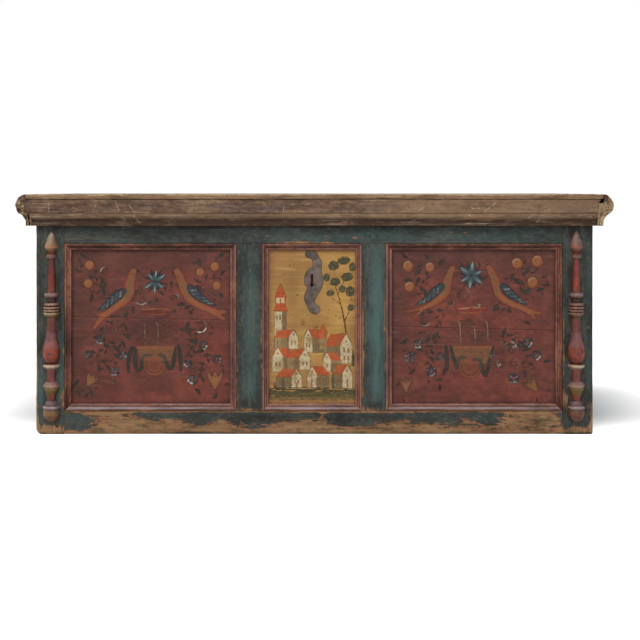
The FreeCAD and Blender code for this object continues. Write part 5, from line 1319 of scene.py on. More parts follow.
# Front frame: flush members with eased joints, chipped where hands and feet reach
frameLook = {
    "gap": 5.0, "sideGap": 4.5, "ease": 0.7, "chip": 2.6, "wave": 0.5, "slot": "frame_green", "finish": frameGreen,
    "bareSides": ((0, 1, 0),), "worn": -0.02,
}
members = {
    "front_stile_left": {
        "x": (-777, -698), "z": (0, 648), "along": 2, "seed": 41,
        "wornSpots": (
            (-702, 96, 7, 34, 0.42), (-777, 170, 7, 100, 0.36), (-740, 4, 60, 22, 0.7), (-777, 30, 9, 60, 0.4),
            (-777, 420, 5, 160, 0.2), (-700, 232, 3, 9, 0.6)),
        "freshAndSheenSpots": ((-712, 190, 12, 90, 0.5), (-768, 120, 10, 70, 0.8), (-715, 120, 12, 50, 0.4)),
        # the spot at z 594 is a painted shadow of the lid, the one at z 0 a painted shadow line along the foot
        "dirtAndShadeSpots": (
            (-740, 594, 90, 20, 1.5), (-740, 0, 90, 4, 1.4), (-712, 400, 12, 190, 0.7), (-765, 420, 14, 180, 0.5))},
    "front_stile_right": {
        "x": (692, 777), "z": (0, 648), "along": 2, "seed": 43,
        "wornSpots": (
            (696, 240, 4, 120, 0.30), (777, 50, 12, 60, 0.4), (740, 2, 60, 20, 0.75), (700, 90, 10, 30, 0.4)),
        "freshAndSheenSpots": ((768, 440, 10, 90, 0.3), (766, 170, 9, 50, 0.35)),
        # the spots at z 594 and at 712, 562 are painted shadow under the lid, the one at z 0 a painted shadow line
        # along the foot
        "dirtAndShadeSpots": (
            (734, 594, 90, 20, 1.5), (712, 562, 24, 16, 0.8), (715, 300, 16, 210, 1.2), (740, 0, 90, 4, 1.4),
            (766, 300, 12, 90, 0.6), (762, 90, 14, 40, 0.7))},
    "front_muntin_left": {
        "x": (-218, -146), "z": (65, 532), "along": 2, "seed": 45,
        "wornSpots": ((-148, 260, 4, 150, 0.28), (-216, 180, 4, 120, 0.26), (-182, 68, 40, 9, 0.36)),
        "freshAndSheenSpots": ((-178, 330, 20, 160, 0.5), (-180, 130, 16, 50, 0.6)),
        "dirtAndShadeSpots": ((-182, 84, 40, 18, 0.6), (-208, 380, 7, 110, 0.5))},
    "front_muntin_right": {
        "x": (132, 199), "z": (65, 532), "along": 2, "seed": 47,
        "wornSpots": (
            (135, 250, 6, 170, 0.40), (197, 300, 4, 160, 0.26), (166, 68, 40, 9, 0.36), (168, 400, 5, 50, 0.16)),
        "freshAndSheenSpots": ((174, 330, 20, 170, 1.2), (176, 150, 14, 60, 1.1)),
        "dirtAndShadeSpots": ((140, 420, 9, 80, 0.8), (166, 80, 40, 14, 0.6))},
    "front_top_rail": {
        "x": (-698, 692), "z": (532, 648), "along": 0, "seed": 51,
        "wornSpots": (
            (20, 536, 90, 3, 0.3), (40, 552, 26, 8, 0.24), (112, 548, 14, 8, 0.3), (-60, 536, 30, 4, 0.3),
            (381, 563, 9, 5, 0.42), (420, 563, 7, 5, 0.42)),
        "freshAndSheenSpots": ((180, 556, 90, 16, 0.45), (480, 550, 240, 14, 0.3), (20, 550, 130, 12, 0.3)),
        # the first spot is a painted shadow of the lid along the top of the rail
        "dirtAndShadeSpots": ((0, 593, 900, 19, 1.5), (-500, 560, 220, 24, 0.4))},
    "front_bottom_rail": {
        "x": (-698, 692), "z": (0, 65), "along": 0, "seed": 53, "ease": 1.2,
        "wornSpots": (
            (0, 66, 900, 6, 0.56), (-610, 60, 80, 8, 0.4), (0, 2, 900, 29, 0.66), (0, 44, 900, 24, 0.06),
            (-665, 28, 36, 16, -0.34), (-560, 38, 62, 22, 0.4), (-450, 26, 90, 16, 0.3), (-170, 18, 46, 12, -0.28),
            (130, 26, 60, 12, -0.12), (22, 46, 12, 24, 0.38), (-20, 30, 30, 12, 0.24), (230, 24, 20, 16, 0.2),
            (430, 40, 26, 10, 0.18), (556, 46, 50, 22, 0.34), (640, 42, 44, 24, 0.42), (-260, 36, 12, 8, 0.2)),
        "freshAndSheenSpots": ((-150, 50, 60, 10, 0.2), (470, 44, 60, 14, 0.3), (-650, 40, 40, 16, 0.3)),
        # the spots at z 0 make a painted shadow line along the foot
        "dirtAndShadeSpots": (
            (-120, 44, 120, 12, 0.7), (200, 44, 180, 9, 0.5), (-300, 0, 90, 6, 0.8), (0, 0, 900, 3.5, 1.5),
            (500, 14, 100, 10, 0.4), (622, 26, 34, 20, 0.7))},
}
footWear = {-1: 18.0, 1: 7.0}  # how far the left and the right foot's outer corner is rounded off


def roundFoot(points):
    points = points.copy()
    for side, wear in footWear.items():
        inside = np.stack([side * points[:, 0] - (chest["halfWidth"] - wear), points[:, 2] - wear], 1)
        far = np.linalg.norm(inside, axis=1)
        corner = (inside[:, 0] > 0) & (inside[:, 1] < 0) & (far > wear)
        pull = 1 - wear / far[corner]
        points[corner, 0] -= side * inside[corner, 0] * pull
        points[corner, 2] -= inside[corner, 1] * pull
    return points


for name, member in members.items():
    boardPiece(name, (member["x"][0], chest["frontY"], member["z"][0]),
               (member["x"][1], chest["frameBackY"], member["z"][1]), member["along"], {**frameLook, **member},
               trim=roundFoot if name.startswith("front_stile") else None)
print("front frame ready")


# Planted mouldings: the section is width from the frame inwards and height off the panel
mouldingLook = {
    "width": 18.0, "proud": 3.0, "gap": 5.0, "ease": 0.15, "chip": 0.9, "wave": 0.25, "reach": 1.4, "hold": 0.2,
    "slot": "moulding_red", "finish": mouldingRed, "endEase": 0.25, "chipSize": 26,
    # how strong a painted sheen some strips' fronts get; these strips also wear a little more
    "pale": {
        ("left", "right"): 0.16, ("centre", "left"): 0.2, ("centre", "right"): 0.18, ("centre", "top"): 0.14,
        ("right", "left"): 0.2},
    "paleWear": 0.09, "plainSheen": 0.06, "wear": {"top": 0.02, "bottom": 0.06, "left": 0.03, "right": 0.03},
    "section": (
        ((0.0, 0.80),), ((0.17, 1.0), (0.34, 0.80)), ((0.38, 0.66),), ((0.50, 0.52), (0.66, 0.44)),
        ((0.83, 0.58), (0.97, 0.34)), ((1.0, 0.0),)),
}
mouldingHeight = chest["panelY"] - chest["frontY"] + mouldingLook["proud"]


def scaledRuns(runs, width, height, left=0.0, low=0.0):
    return [tuple((left + u * width, low + v * height) for u, v in run) for run in runs]


section = outlinePoints((0.0, 0.0), scaledRuns(mouldingLook["section"], mouldingLook["width"], mouldingHeight))
section = densePath(section, 3.0)


def mouldingPlace(side, left, right):
    low, high = chest["openingLow"], chest["openingHigh"]

    def place(u, v, t):
        y = chest["panelY"] - v
        if side in ("top", "bottom"):
            x = left + u + t * (right - left - 2 * u)
            return np.stack([x, y, high - u if side == "top" else low + u], 1)
        z = low + u + t * (high - low - 2 * u)
        return np.stack([left + u if side == "left" else right - u, y, z], 1)

    return place


for panel, which in enumerate(("left", "centre", "right")):
    left, right = chest[which + "Opening"]
    low, high = chest["openingLow"], chest["openingHigh"]
    for k, side in enumerate(("top", "bottom", "left", "right")):
        pale = mouldingLook["pale"].get((which, side))
        # each strip's front gets a painted sheen, stronger where pale says so
        look = {**mouldingLook, "seed": 60 + k + 4 * panel,
                "worn": mouldingLook["wear"][side] + (mouldingLook["paleWear"] if pale else 0.0),
                "sheenSides": (((0, -1, 0), pale or mouldingLook["plainSheen"]),)}
        # long thin spots make stripes along a strip
        if side == "top":
            look["dirtAndShadeSpots"] = ((left, high - 9, 2000, 12, 0.35),)
        elif side == "bottom":
            # bottom strip: painted sheen on its upward faces, a pale painted highlight along its bulge and a dark
            # painted shade line in its groove; the worn lines at its edges are wear and also stand in for highlights
            # on its beads
            look.update({"sheenSides": (((0, 0, 1), 1.3),), "freshAndSheenSpots": ((left, low + 10, 2000, 4, 0.3),),
                         "wornSpots": ((left, low + 0.5, 2000, 1.6, 0.5), (left, low + 16.6, 2000, 1.6, 0.3)),
                         "dirtAndShadeSpots": ((left, low + 3.6, 2000, 1.7, 0.9),)})
        elif side == which:
            look["dirtAndShadeSpots"] = ((left + 1.5 if side == "left" else right - 1.5, 300, 2.6, 2000, 0.8),)
        name, length = "moulding_" + which + "_" + side, right - left if k < 2 else high - low
        sweptPiece(name + "_strip", section, length, mouldingPlace(side, left, right), look, "case", (name,))
print("mouldings ready")


# Sides, back and their raw inner faces
caseLook = {
    "gap": 12.0, "sideGap": 9.0, "ease": 0.9, "chip": 3.4, "wave": 0.8, "slot": "side_green", "finish": sideGreen,
}
for side, which in ((-1, "left"), (1, "right")):
    inner, outer = sorted((side * chest["sideInner"], side * chest["halfWidth"]))
    for part, z0, z1 in (("lower", 0, chest["sideJoint"]), ("upper", chest["sideJoint"], chest["bodyTop"])):
        look = {**caseLook, "seed": 80 + 2 * side + (part == "upper"),
                "bareSides": ((-side, 0, 0), (0, 0, 1), (0, 0, -1)),
                "wornSpots": ((side * 777, 0, 30, 34, 0.5),), "dirtAndShadeSpots": ((side * 777, 610, 30, 30, 0.7),)}
        boardPiece("side_" + which + "_" + part, (inner, chest["frameBackY"], z0),
                   (outer, chest["backInnerY"], z1), 1, look, trim=roundFoot if part == "lower" else None)
notch = {"middles": (-520.0, 520.0), "half": 18.7, "depth": 3.4}


def cutNotches(points):
    points, floor = points.copy(), chest["bodyTop"] - notch["depth"]
    for middle in notch["middles"]:
        inside = (np.abs(points[:, 0] - middle) < notch["half"] + 0.01) & (points[:, 2] > floor)
        points[inside, 2] = floor
    return points


notchEnds = [middle + side * (notch["half"] + d) + chest["halfWidth"]
             for middle in notch["middles"] for side in (-1, 1) for d in (0.0, 0.05)]
backLook = {**caseLook, "slot": "raw_pine", "finish": pineAlongX, "chip": 2.4}
for part, z0, z1 in (("lower", 0, chest["backJoint"]), ("upper", chest["backJoint"], chest["bodyTop"])):
    cut = {"trim": cutNotches, "extra": notchEnds} if part == "upper" else {}
    boardPiece("back_" + part, (-chest["halfWidth"], chest["backInnerY"], z0),
               (chest["halfWidth"], chest["rearY"], z1), 0, {**backLook, "seed": 90 + (part == "upper")}, **cut)
print("case boards ready")


# Lid: boards, front band, cyma and end mouldings
lid = {
    "faceThick": 1.6, "faceReach": 6.0, "capBack": 2.4, "under": 648.3, "top": 670.3, "frontY": -325.0,
    "rearY": 325.0, "half": 827.0, "boardHalf": 797.0, "apronHalf": 784.0, "apronFrontY": -320.0,
    "apronBackY": -291.0, "rebateTop": 657.3, "bandBottom": 617.3, "apronBottom": 582.3, "jointY": 18.0,
    "nosing": 4.0, "chamfer": 2.0, "tongue": 13.0, "setback": 3.0,
    "cyma": (
        ((0.0, 0.94),), ((0.02, 0.66), (0.22, 0.52)), ((0.40, 0.34), (0.34, 0.16)), ((0.30, 0.15),), ((0.30, 0.0),)),
    "end": (((0.32, 0.0),), ((0.39, 0.20), (0.64, 0.36)), ((0.75, 0.38),), ((1.0, 0.66), (0.42, 1.0))),
}
lidLook = {
    "gap": 7.0, "ease": 0.7, "chip": 3.6, "wave": 0.8, "slot": "lid_brown", "finish": lidBrown, "reach": 4.0,
    "wavePull": (2.4, 1, 1), "worn": 0.0, "chipSize": 46,
}


def alongX(low, high):
    def place(u, v, t):
        return np.stack([low + (high - low) * t, u, v], 1)
    return place


bend = lid["nosing"] * (1 - math.sqrt(0.5))
frontRuns = [
    ((lid["apronBackY"], lid["under"]),), ((lid["apronBackY"], lid["rebateTop"]),),
    ((lid["frontY"] + lid["nosing"], lid["rebateTop"]),),
    ((lid["frontY"] + bend, lid["rebateTop"] + bend), (lid["frontY"], lid["rebateTop"] + lid["nosing"])),
    ((lid["frontY"], lid["top"] - lid["nosing"]),),
    ((lid["frontY"] + bend, lid["top"] - bend), (lid["frontY"] + lid["nosing"], lid["top"])),
    ((lid["jointY"], lid["top"]),),
]
boardProfile = densePath(outlinePoints((lid["jointY"], lid["under"]), frontRuns), 9.0)
sweptPiece(
    "lid_board_front_wood", boardProfile, 2 * lid["boardHalf"], alongX(-lid["boardHalf"], lid["boardHalf"]),
    {
        **lidLook, "seed": 101, "bareSides": ((0, 0, -1),), "worn": 0.03, "crestWear": 0.38,
        "freshAndSheenSpots": ((0, 664, 5000, 7, 0.9),)},
    "lid", ("lid_board_front",))
boardPiece(
    "lid_board_rear", (-lid["boardHalf"], lid["jointY"], lid["under"]), (lid["boardHalf"], lid["rearY"], lid["top"]),
    0, {**lidLook, "sideGap": 9.0, "seed": 103, "bareSides": ((0, 0, -1),), "worn": 0.05}, "lid")


def overEnds(points):
    # past the end mouldings' inner faces only the upper lip runs on, and at the left a thin face of the band
    points = points.copy()
    far, low = np.abs(points[:, 0]), points[:, 2] < lid["under"] - 0.1
    thin = (points[:, 0] < -lid["apronHalf"]) & (low | (far > lid["boardHalf"]))
    lip = (points[:, 0] > lid["apronHalf"]) & low
    share = lid["faceThick"] / (lid["apronBackY"] - lid["apronFrontY"])
    points[thin, 1] = lid["apronFrontY"] + (points[thin, 1] - lid["apronFrontY"]) * share
    points[lip, 2] = lid["under"]
    return points


bandProfile = densePath([
    (lid["apronBackY"], lid["under"]), (lid["apronBackY"], lid["under"] - 0.4),
    (lid["apronBackY"], lid["bandBottom"]), (lid["apronFrontY"], lid["bandBottom"]),
    (lid["apronFrontY"], lid["under"]), (lid["apronFrontY"], lid["rebateTop"] - lid["chamfer"]),
    (lid["apronFrontY"] + lid["chamfer"], lid["rebateTop"]), (lid["apronBackY"], lid["rebateTop"])], 5.0)
bandLow = -lid["boardHalf"] - lid["faceReach"]
bandSteps = [lid["apronHalf"] * side + shift - bandLow for side in (-1, 1) for shift in (-0.1, 0.1)]
bandSteps += [-lid["boardHalf"] + shift - bandLow for shift in (-0.1, 0.1)]
sweptPiece(
    "lid_front_band_wood", bandProfile, lid["boardHalf"] - bandLow, alongX(bandLow, lid["boardHalf"]),
    {
        **lidLook, "gap": 4.0, "seed": 105, "chip": 2.0, "bareSides": ((0, 1, 0),), "crestWear": 0.16,
        "dirtAndShadeSpots": ((-650, 640, 190, 60, 0.3), (-815, 640, 26, 60, 0.3)),
        "freshAndSheenSpots": ((560, 640, 260, 60, 0.7), (300, 640, 120, 60, 0.3))},
    "lid", ("lid_front_band",), trim=overEnds, extra=bandSteps)
depth, tall = lid["apronBackY"] - lid["apronFrontY"], lid["bandBottom"] - lid["apronBottom"]
cymaRuns = scaledRuns((((0.0, 1.0),),) + lid["cyma"] + (((1.0, 0.0),),), depth, tall, lid["apronFrontY"],
                      lid["apronBottom"])
cymaProfile = densePath(outlinePoints((lid["apronBackY"], lid["bandBottom"]), cymaRuns), 5.0)
sweptPiece(
    "lid_front_cyma_wood", cymaProfile, 2 * lid["apronHalf"], alongX(-lid["apronHalf"], lid["apronHalf"]),
    {
        **lidLook, "gap": 4.0, "seed": 107, "chip": 2.2, "reach": 3.0, "bareSides": ((0, 1, 0),), "crestWear": 0.16,
        # a dark band low on the cyma is painted shade in its hollow, a pale band along its top a painted highlight on
        # its bulge
        "dirtAndShadeSpots": ((0, 588, 2000, 13, 0.8), (-650, 600, 190, 60, 0.2)),
        "freshAndSheenSpots": ((0, 612, 900, 9, 0.5), (520, 605, 260, 40, 0.5))},
    "lid", ("lid_front_cyma",))
for side in (-1, 1):
    name = "lid_end_moulding_" + ("left" if side < 0 else "right")
    width, tall = lid["half"] - lid["apronHalf"], lid["top"] - lid["apronBottom"]
    tongue, under = lid["tongue"] / width, (lid["under"] - lid["apronBottom"]) / tall
    runs = list(lid["end"]) + [((tongue, 1.0),), ((tongue, under),), ((0.0, under),)]
    endProfile = densePath(outlinePoints((0.0, 0.0), scaledRuns(runs, width, tall)), 5.0)
    start = lid["frontY"] + lid["setback"] + (lid["capBack"] if side < 0 else 0)
    length = lid["rearY"] - start

    def place(u, v, t, side=side, start=start, length=length):
        return np.stack([side * (lid["apronHalf"] + u), start + t * length, lid["apronBottom"] + v], 1)

    sweptPiece(name + "_wood", endProfile, length, place,
               {**lidLook, "gap": 5.0, "seed": 109 + side, "chip": 3.4, "reach": 3.5, "bareSides": ((-side, 0, 0),),
                "endEase": 0.9, "endChip": 2.5, "capWorn": 0.40, "capGrime": 0.85 if side < 0 else 0.4},
               "lid", (name,))
print("lid ready")


# Split-turned columns: the outline is in shares of height from the foot and of the largest radius
column = {
    "radius": 24.5, "foot": 33.5, "height": 544.8, "middles": (-733.5, 730.5), "turns": 40, "gap": 1.6,
    "sharpAngle": 38, "crestAt": 2.6, "hollowAt": 2.4, "bite": 2.6, "sanded": 0.35, "unevenEnds": 0.0035,
    "outline": (
        ((0.0, 0.24),), ((0.012, 0.66), (0.034, 0.92)), ((0.050, 0.99), (0.066, 0.93)), ((0.067, 0.89),),
        ((0.078, 0.99), (0.088, 0.82)), ((0.089, 0.62),), ((0.0905, 0.76),), ((0.101, 0.70), (0.113, 0.54)),
        ((0.116, 0.48),), ((0.141, 0.60), (0.159, 0.75)), ((0.172, 0.86), (0.183, 0.90)), ((0.186, 0.97),),
        ((0.197, 0.92), (0.211, 0.70)), ((0.214, 0.60),), ((0.242, 0.52), (0.270, 0.60)), ((0.274, 0.68),),
        ((0.284, 0.90), (0.290, 0.99)), ((0.296, 0.92), (0.299, 0.70)), ((0.301, 0.58),),
        ((0.322, 0.86), (0.356, 1.0)), ((0.391, 0.92), (0.419, 0.75)), ((0.470, 0.60), (0.539, 0.545)),
        ((0.541, 0.60),), ((0.551, 0.86), (0.5605, 0.92)), ((0.565, 0.88), (0.5675, 0.80)),
        ((0.574, 0.92), (0.5803, 0.80)), ((0.5888, 0.92), (0.5973, 0.78)), ((0.6057, 0.86), (0.614, 0.72)),
        ((0.615, 0.47),), ((0.634, 0.53),), ((0.637, 0.60),), ((0.645, 0.80), (0.656, 0.85)),
        ((0.662, 0.78), (0.6655, 0.60)), ((0.667, 0.465),), ((0.7475, 0.450), (0.8365, 0.345)), ((0.839, 0.50),),
        ((0.850, 0.63), (0.861, 0.50)), ((0.862, 0.37),), ((0.8715, 0.39),), ((0.880, 0.57),), ((0.895, 0.80),),
        ((0.8995, 0.81),), ((0.917, 0.69), (0.936, 0.56)), ((0.957, 0.39),), ((0.9725, 0.23),), ((0.983, 0.06),),
        ((0.983, 0.0),)),
    # tones laid over the right column's coats: from and to in shares of the height, colour and share
    "overRight": (
        (0.016, 0.066, (96, 52, 40), 0.6), (0.54, 0.614, (92, 54, 48), 0.5), (0.667, 0.838, (150, 66, 54), 0.55),
        (0.872, 0.906, (104, 48, 42), 0.6), (0.906, 0.984, (120, 88, 80), 0.7)),
    # coats of paint from the foot up: where each ends, as a share of the height; pale bands on the rings' tops are
    # painted highlights, dark bands in the grooves painted shade
    "coatsAndShading": (
        (0.016, (78, 46, 34)), (0.040, (112, 72, 44)), (0.066, (132, 98, 60)), (0.078, (120, 100, 106)),
        (0.0885, (164, 152, 156)), (0.0902, (60, 36, 40)), (0.113, (116, 94, 100)), (0.117, (66, 36, 30)),
        (0.143, (116, 52, 30)), (0.184, (104, 84, 30)), (0.195, (168, 134, 120)), (0.212, (126, 98, 92)),
        (0.271, (116, 50, 48)), (0.284, (140, 112, 86)), (0.2995, (206, 184, 156)), (0.302, (70, 32, 28)),
        (0.335, (122, 52, 33)), (0.380, (142, 65, 45)), (0.415, (138, 84, 76)), (0.465, (122, 82, 82)),
        (0.5395, (104, 56, 48)), (0.556, (112, 88, 50)), (0.5645, (182, 152, 112)), (0.5705, (52, 30, 26)),
        (0.5775, (180, 150, 120)), (0.584, (52, 28, 26)), (0.593, (176, 142, 116)), (0.601, (54, 30, 28)),
        (0.6115, (166, 134, 110)), (0.636, (60, 30, 29)), (0.648, (90, 55, 55)), (0.666, (132, 110, 112)),
        (0.745, (116, 52, 32)), (0.800, (106, 47, 38)), (0.838, (94, 48, 46)), (0.8615, (102, 76, 66)),
        (0.872, (132, 44, 42)), (0.892, (122, 86, 50)), (0.906, (170, 112, 80)), (0.970, (152, 134, 112)),
        (1.0, (104, 92, 76))),
}


def turnedPaint(name):
    # the coats and painted light are on the points; this wears and dirties them, with painted shade in the grooves
    # and painted highlights on the ridges
    finish = Finish(name)
    grain = finish.grain()
    worn, crest = finish.value("worn"), finish.value("crest")
    broad = finish.noise(grain, 24.0, 5.0, 0.62)
    streak = finish.drawn(grain, 20, 120, 5.0, 0.66)
    fine = finish.noise(grain, 240.0, 4.0, 0.65)
    colour = finish.tinted(finish.colour("tint"), broad, 0.50, 0.68, 0.5, tone(74, 46, 42))
    colour = finish.tinted(colour, streak, 0.52, 0.68, 0.4, tone(158, 96, 74))
    loss = finish.plus(finish.times(crest, 0.16), (fine, 0.4), worn, (broad, 0.5))
    thin, bare = finish.between(loss, 0.56, 0.60, 0.0, 0.85), finish.between(loss, 0.64, 0.69)
    colour = finish.mix(thin, colour, tone(158, 102, 70))
    colour = finish.mix(bare, colour, tone(152, 120, 88))
    colour = finish.tinted(colour, finish.noise(grain, 60.0, 6.0, 0.7), 0.52, 0.66, 0.55, tone(44, 30, 28))
    # painted shade in the grooves and painted highlights on the ridges
    colour = finish.mix(finish.times(finish.value("hollow"), 0.8), colour, tone(40, 27, 25))
    colour = finish.mix(finish.times(crest, 0.35), colour, tone(176, 146, 124))
    height = finish.plus(finish.times(thin, -0.6), (streak, 0.5))
    shine = finish.plus(finish.between(bare, 0, 1, 0.30, 0.70), (finish.noise(grain, 70.0, 3.0), 0.15))
    return finish.dress(colour, shine, finish.bump(height, 0.0008, 0.6), 0.22)


columnPaint = turnedPaint("column_paint")
turning = np.array(outlinePoints((0.0, 0.0), scaledRuns([tuple((r, h) for h, r in run) for run in column["outline"]],
                                                        column["radius"], column["height"]), 0.9))
steps = [turning[0]]
for a, b in zip(turning[:-1], turning[1:]):
    count = max(1, math.ceil(np.linalg.norm(b - a) / column["gap"]))
    steps += [a + (b - a) * k / count for k in range(1, count + 1)]
steps = np.array(steps[1:])
steps[:, 0] = np.maximum(steps[:, 0], 0.25)
for side, middle in zip(("left", "right"), column["middles"]):
    seed = 131 if side == "left" else 137
    angles = np.linspace(0, math.pi, column["turns"] + 1)
    count, ring = len(steps), len(angles)
    radius = np.repeat(steps[:, 0], ring)
    z = np.repeat(steps[:, 1], ring) + column["foot"]
    angle = np.tile(angles, count)
    flat = np.stack([middle + np.cos(angle) * radius, chest["frontY"] - np.sin(angle) * radius, z], 1)
    smoothRadius = np.convolve(np.pad(steps[:, 0], 6, "edge"), np.ones(13) / 13, "valid")
    crest = np.repeat(np.clip((steps[:, 0] - smoothRadius) / column["crestAt"], 0, 1), ring)
    hollow = np.repeat(np.clip((smoothRadius - steps[:, 0]) / column["hollowAt"] - 0.25, 0, 1), ring)
    bite = np.clip(layered(flat, 16, seed, 3) - 0.2, 0, 1)
    cut = crest * bite * column["bite"] + column["sanded"] * (0.5 + 0.5 * layered(flat, 30, seed + 1, 2))
    radius = np.maximum(radius - cut * np.clip(radius / 6, 0, 1), 0.2)
    points = np.stack([middle + np.cos(angle) * radius, chest["frontY"] - np.sin(angle) * radius, z], 1)
    faces = ringFaces(np.arange(count * ring).reshape(count, ring))
    piece = makeObject("column_" + side + "_turned", points, faces, "case", ("column_" + side,),
                       column["sharpAngle"])
    heights = (z - column["foot"]) / column["height"] + column["unevenEnds"] * layered(points, 6, seed + 2, 3)
    ends = np.array([end for end, _ in column["coatsAndShading"]])
    tones = np.array([colour for _, colour in column["coatsAndShading"]], float)
    middles = (ends + np.concatenate([[0.0], ends[:-1]])) / 2
    blend = np.stack([np.interp(heights, middles, tones[:, k]) for k in range(3)], 1)
    coatsAndShading = tones[np.clip(np.searchsorted(ends, heights), 0, len(ends) - 1)] * 0.6 + blend * 0.4
    for low, high, colour, most in column["overRight"] if side == "right" else ():
        share = most * ((heights > low) & (heights < high))[:, None]
        coatsAndShading = coatsAndShading * (1 - share) + np.array(colour) * share
    # random tone changes, and painted shade darkening each column towards its sides, more on the right
    coatsAndShading *= (1 + 0.16 * layered(points, 12, seed + 3, 3) - 0.24 * np.clip(np.cos(angle), 0, 1) ** 2
              - 0.12 * np.clip(-np.cos(angle), 0, 1) ** 2)[:, None]
    keepColours(piece, "tint", np.clip(coatsAndShading, 0, 255))
    keepValues(piece, "hollow", hollow)
    keepValues(piece, "worn", bite * crest * 0.3 + np.where(heights > 0.92, 0.04, 0.0))
    keepValues(piece, "crest", crest)
    keepValues(piece, "grain", np.stack([z, points[:, 0] - middle, points[:, 1]], 1) * mm + seed * 0.21)
    piece.data.materials.append(columnPaint)
print("columns ready")


# Escutcheon: the CAD plate forged thinner at its edge, with a raised rib above the keyhole
plate = {
    "cell": 0.0008, "rise": 1.0, "rim": 6.0, "rimDrop": 0.5, "hammer": 0.22, "rimNear": 0.6, "sharpAngle": 60,
    "rib": {"x": -3.5, "low": 452.0, "high": 492.0, "half": 3.2, "rise": 0.9, "footEase": 6.0, "headEase": 8.0},
}
source = nodes["escutcheon"]
piece = bpy.data.objects.new("escutcheon_forged", source.data.copy())
bpy.context.scene.collection.objects.link(piece)
remesh = piece.modifiers.new("even", "REMESH")
remesh.mode, remesh.voxel_size = "VOXEL", plate["cell"]
evaluated = piece.evaluated_get(bpy.context.evaluated_depsgraph_get())
even = bpy.data.meshes.new_from_object(evaluated)
piece.modifiers.clear()
piece.data = even
points = np.empty(len(even.vertices) * 3)
even.vertices.foreach_get("co", points)
points = points.reshape(-1, 3) / mm
frontPlane, backPlane = points[:, 1].min(), points[:, 1].max()
middlePlane = (frontPlane + backPlane) / 2
onRim = np.nonzero(np.abs(points[:, 1] - middlePlane) < plate["rimNear"])[0]
tree = kdtree.KDTree(len(onRim))
for k, which in enumerate(onRim):
    tree.insert((points[which, 0], points[which, 2], 0), k)
tree.balance()
far = np.array([tree.find((x, z, 0))[2] for x, _, z in points])
swell = np.clip(far / plate["rim"], 0, 1)
swell = swell * (2 - swell)
rib = plate["rib"]
ribLine = np.clip(1 - np.abs(points[:, 0] - rib["x"]) / rib["half"], 0, 1)
ribLine *= np.clip((points[:, 2] - rib["low"]) / rib["footEase"], 0, 1)
ribLine *= np.clip((rib["high"] - points[:, 2]) / rib["headEase"], 0, 1)
lift = swell * plate["rise"] - (1 - swell) * plate["rimDrop"] + ribLine * rib["rise"]
lift = lift + plate["hammer"] * layered(points, 6, 151, 2)
isFront = points[:, 1] < middlePlane
points[isFront, 1] -= lift[isFront]
even.vertices.foreach_set("co", (points * mm).ravel())
even.materials.clear()
even.materials.append(wroughtIron)
even.shade_smooth()
even.set_sharp_from_angle(angle=math.radians(plate["sharpAngle"]))
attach(piece, "case")
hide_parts("escutcheon")
print("escutcheon ready")


# The other CAD nodes keep their shapes and get their finishes
kept = {
    pineAlongX: ("bottom_front", "bottom_rear"), pineAlongY: ("till_front", "till_bottom", "till_lid"),
    pegWood: ("frame_pegs",),
    wroughtIron: (
        "lock_plate", "lock_cover", "lock_bolt", "lock_spring", "lid_staple", "hinge_strap_left", "hinge_strap_right",
        "hinge_leaf_left", "hinge_leaf_right", "hinge_pin_left", "hinge_pin_right"),
    nailIron: ("wood_nails", "lid_nails", "moulding_pins", "ironwork_nails", "strap_nails"),
}
for finish, names in kept.items():
    for name in names:
        slots = nodes[name].material_slots
        if len(slots):
            for slot in slots:
                slot.material = finish
        else:
            nodes[name].data.materials.append(finish)


# Floor, lamps and camera
studio = {
    "floorReach": 14.0, "floorTone": (226, 226, 226), "sky": (0.92, 0.95, 1.0), "skyStrength": 0.30,
    "floorGlow": {"near": 0.0, "far": 1.0, "start": 0.354, "end": 1.245}, "glowStretch": (0.88, 2.42, 0.0),
    "glowShift": (-0.03, -0.396, 0.0),
    "key": {"at": (-1.3, -3.2, 3.6), "size": (2.6, 1.8), "power": 100.0, "tone": (1.0, 0.98, 0.95)},
    "fill": {"at": (0.9, -4.6, 1.5), "size": (3.0, 2.2), "power": 36.0, "tone": (0.96, 0.98, 1.0)},
    "rear": {"at": (0.4, 3.6, 2.6), "size": (2.6, 1.6), "power": 50.0, "tone": (1.0, 1.0, 1.0)},
    "left": {"at": (-4.2, 0.4, 2.2), "size": (2.0, 1.6), "power": 34.0, "tone": (1.0, 1.0, 1.0)},
    "right": {"at": (4.2, 0.2, 2.2), "size": (2.0, 1.6), "power": 16.0, "tone": (1.0, 1.0, 1.0)},
    "aim": (0.0, 0.0, 0.35),
    "camera": {"at": (0.0154, -3.265, 0.683), "lens": 60.0, "sensor": 36.0, "rise": -0.2038},
}


def seenRays(finish):
    # 1 for what the camera, a gloss or glass sees of it
    rays = finish.put("LightPath", {}).outputs
    seen = finish.sums("MAXIMUM", rays["Is Camera Ray"], rays["Is Glossy Ray"])
    return finish.sums("MAXIMUM", seen, rays["Is Transmission Ray"])


floorMesh = bpy.data.meshes.new("floor")
reach = studio["floorReach"]
corners = [(-reach, -reach, 0), (reach, -reach, 0), (reach, reach, 0), (-reach, reach, 0)]
floorMesh.from_pydata(corners, [], [(0, 1, 2, 3)])
floor = bpy.data.objects.new("floor", floorMesh)
bpy.context.scene.collection.objects.link(floor)
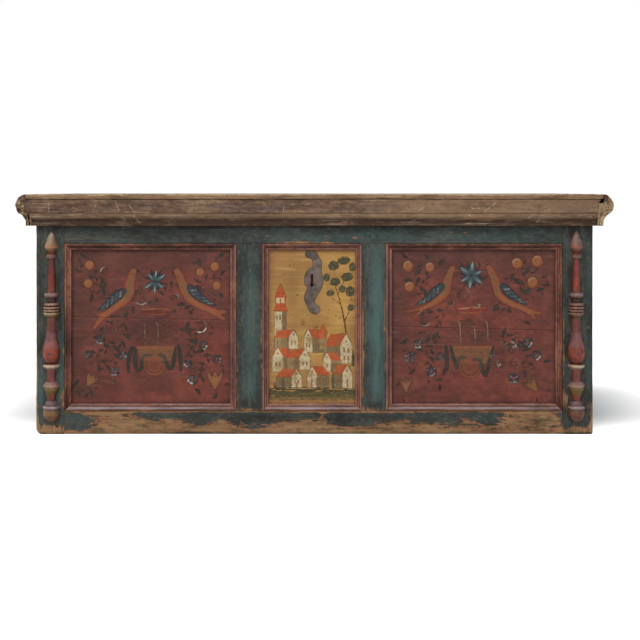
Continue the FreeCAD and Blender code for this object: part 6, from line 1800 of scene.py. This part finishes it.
# the floor keeps the chest's shadow close to it and glows to white further off
paleFloor = Finish("pale_floor")
shifted = paleFloor.vectors("MULTIPLY_ADD", paleFloor.place(), studio["glowStretch"], studio["glowShift"])
far = paleFloor.vectors("LENGTH", paleFloor.vectors("MULTIPLY", shifted, shifted), out="Value")
glowShare = paleFloor.between(far, *(studio["floorGlow"][key] for key in ("start", "end", "near", "far")))
plain = paleFloor.put("BsdfDiffuse", {"Color": tone(*studio["floorTone"])})
glow = paleFloor.put("Emission", {"Strength": paleFloor.times(seenRays(paleFloor), glowShare)})
both = paleFloor.put("AddShader", {0: plain.outputs[0], 1: glow.outputs[0]})
paleFloor.put("OutputMaterial", {0: both.outputs[0]})
floorMesh.materials.append(paleFloor.owner)

sky = Finish("studio", bpy.data.worlds.new("studio"))
bpy.context.scene.world = sky.owner
soft = sky.put("Background", {"Color": studio["sky"] + (1.0,), "Strength": studio["skyStrength"]})
white = sky.put("Background", {"Color": (1.0, 1.0, 1.0, 1.0), "Strength": 1.0})
choice = sky.put("MixShader", {0: seenRays(sky), 1: soft.outputs[0], 2: white.outputs[0]})
sky.put("OutputWorld", {0: choice.outputs[0]})

for name in ("key", "fill", "rear", "left", "right"):
    lamp = studio[name]
    light = bpy.data.lights.new(name, "AREA")
    light.shape = "RECTANGLE"
    light.size, light.size_y = lamp["size"]
    light.energy = lamp["power"]
    light.color = lamp["tone"]
    holder = bpy.data.objects.new(name, light)
    bpy.context.scene.collection.objects.link(holder)
    holder.location = lamp["at"]
    aim = Vector(studio["aim"]) - Vector(lamp["at"])
    holder.rotation_euler = aim.to_track_quat("-Z", "Y").to_euler()

lensData = bpy.data.cameras.new("camera")
lensData.lens = studio["camera"]["lens"]
lensData.sensor_width = studio["camera"]["sensor"]
lensData.shift_y = studio["camera"]["rise"]
camera = bpy.data.objects.new("camera", lensData)
bpy.context.scene.collection.objects.link(camera)
camera.location = studio["camera"]["at"]
camera.rotation_euler = (math.radians(90), 0, 0)
bpy.context.scene.camera = camera
bpy.context.scene.view_settings.view_transform = "Standard"
print("studio ready")
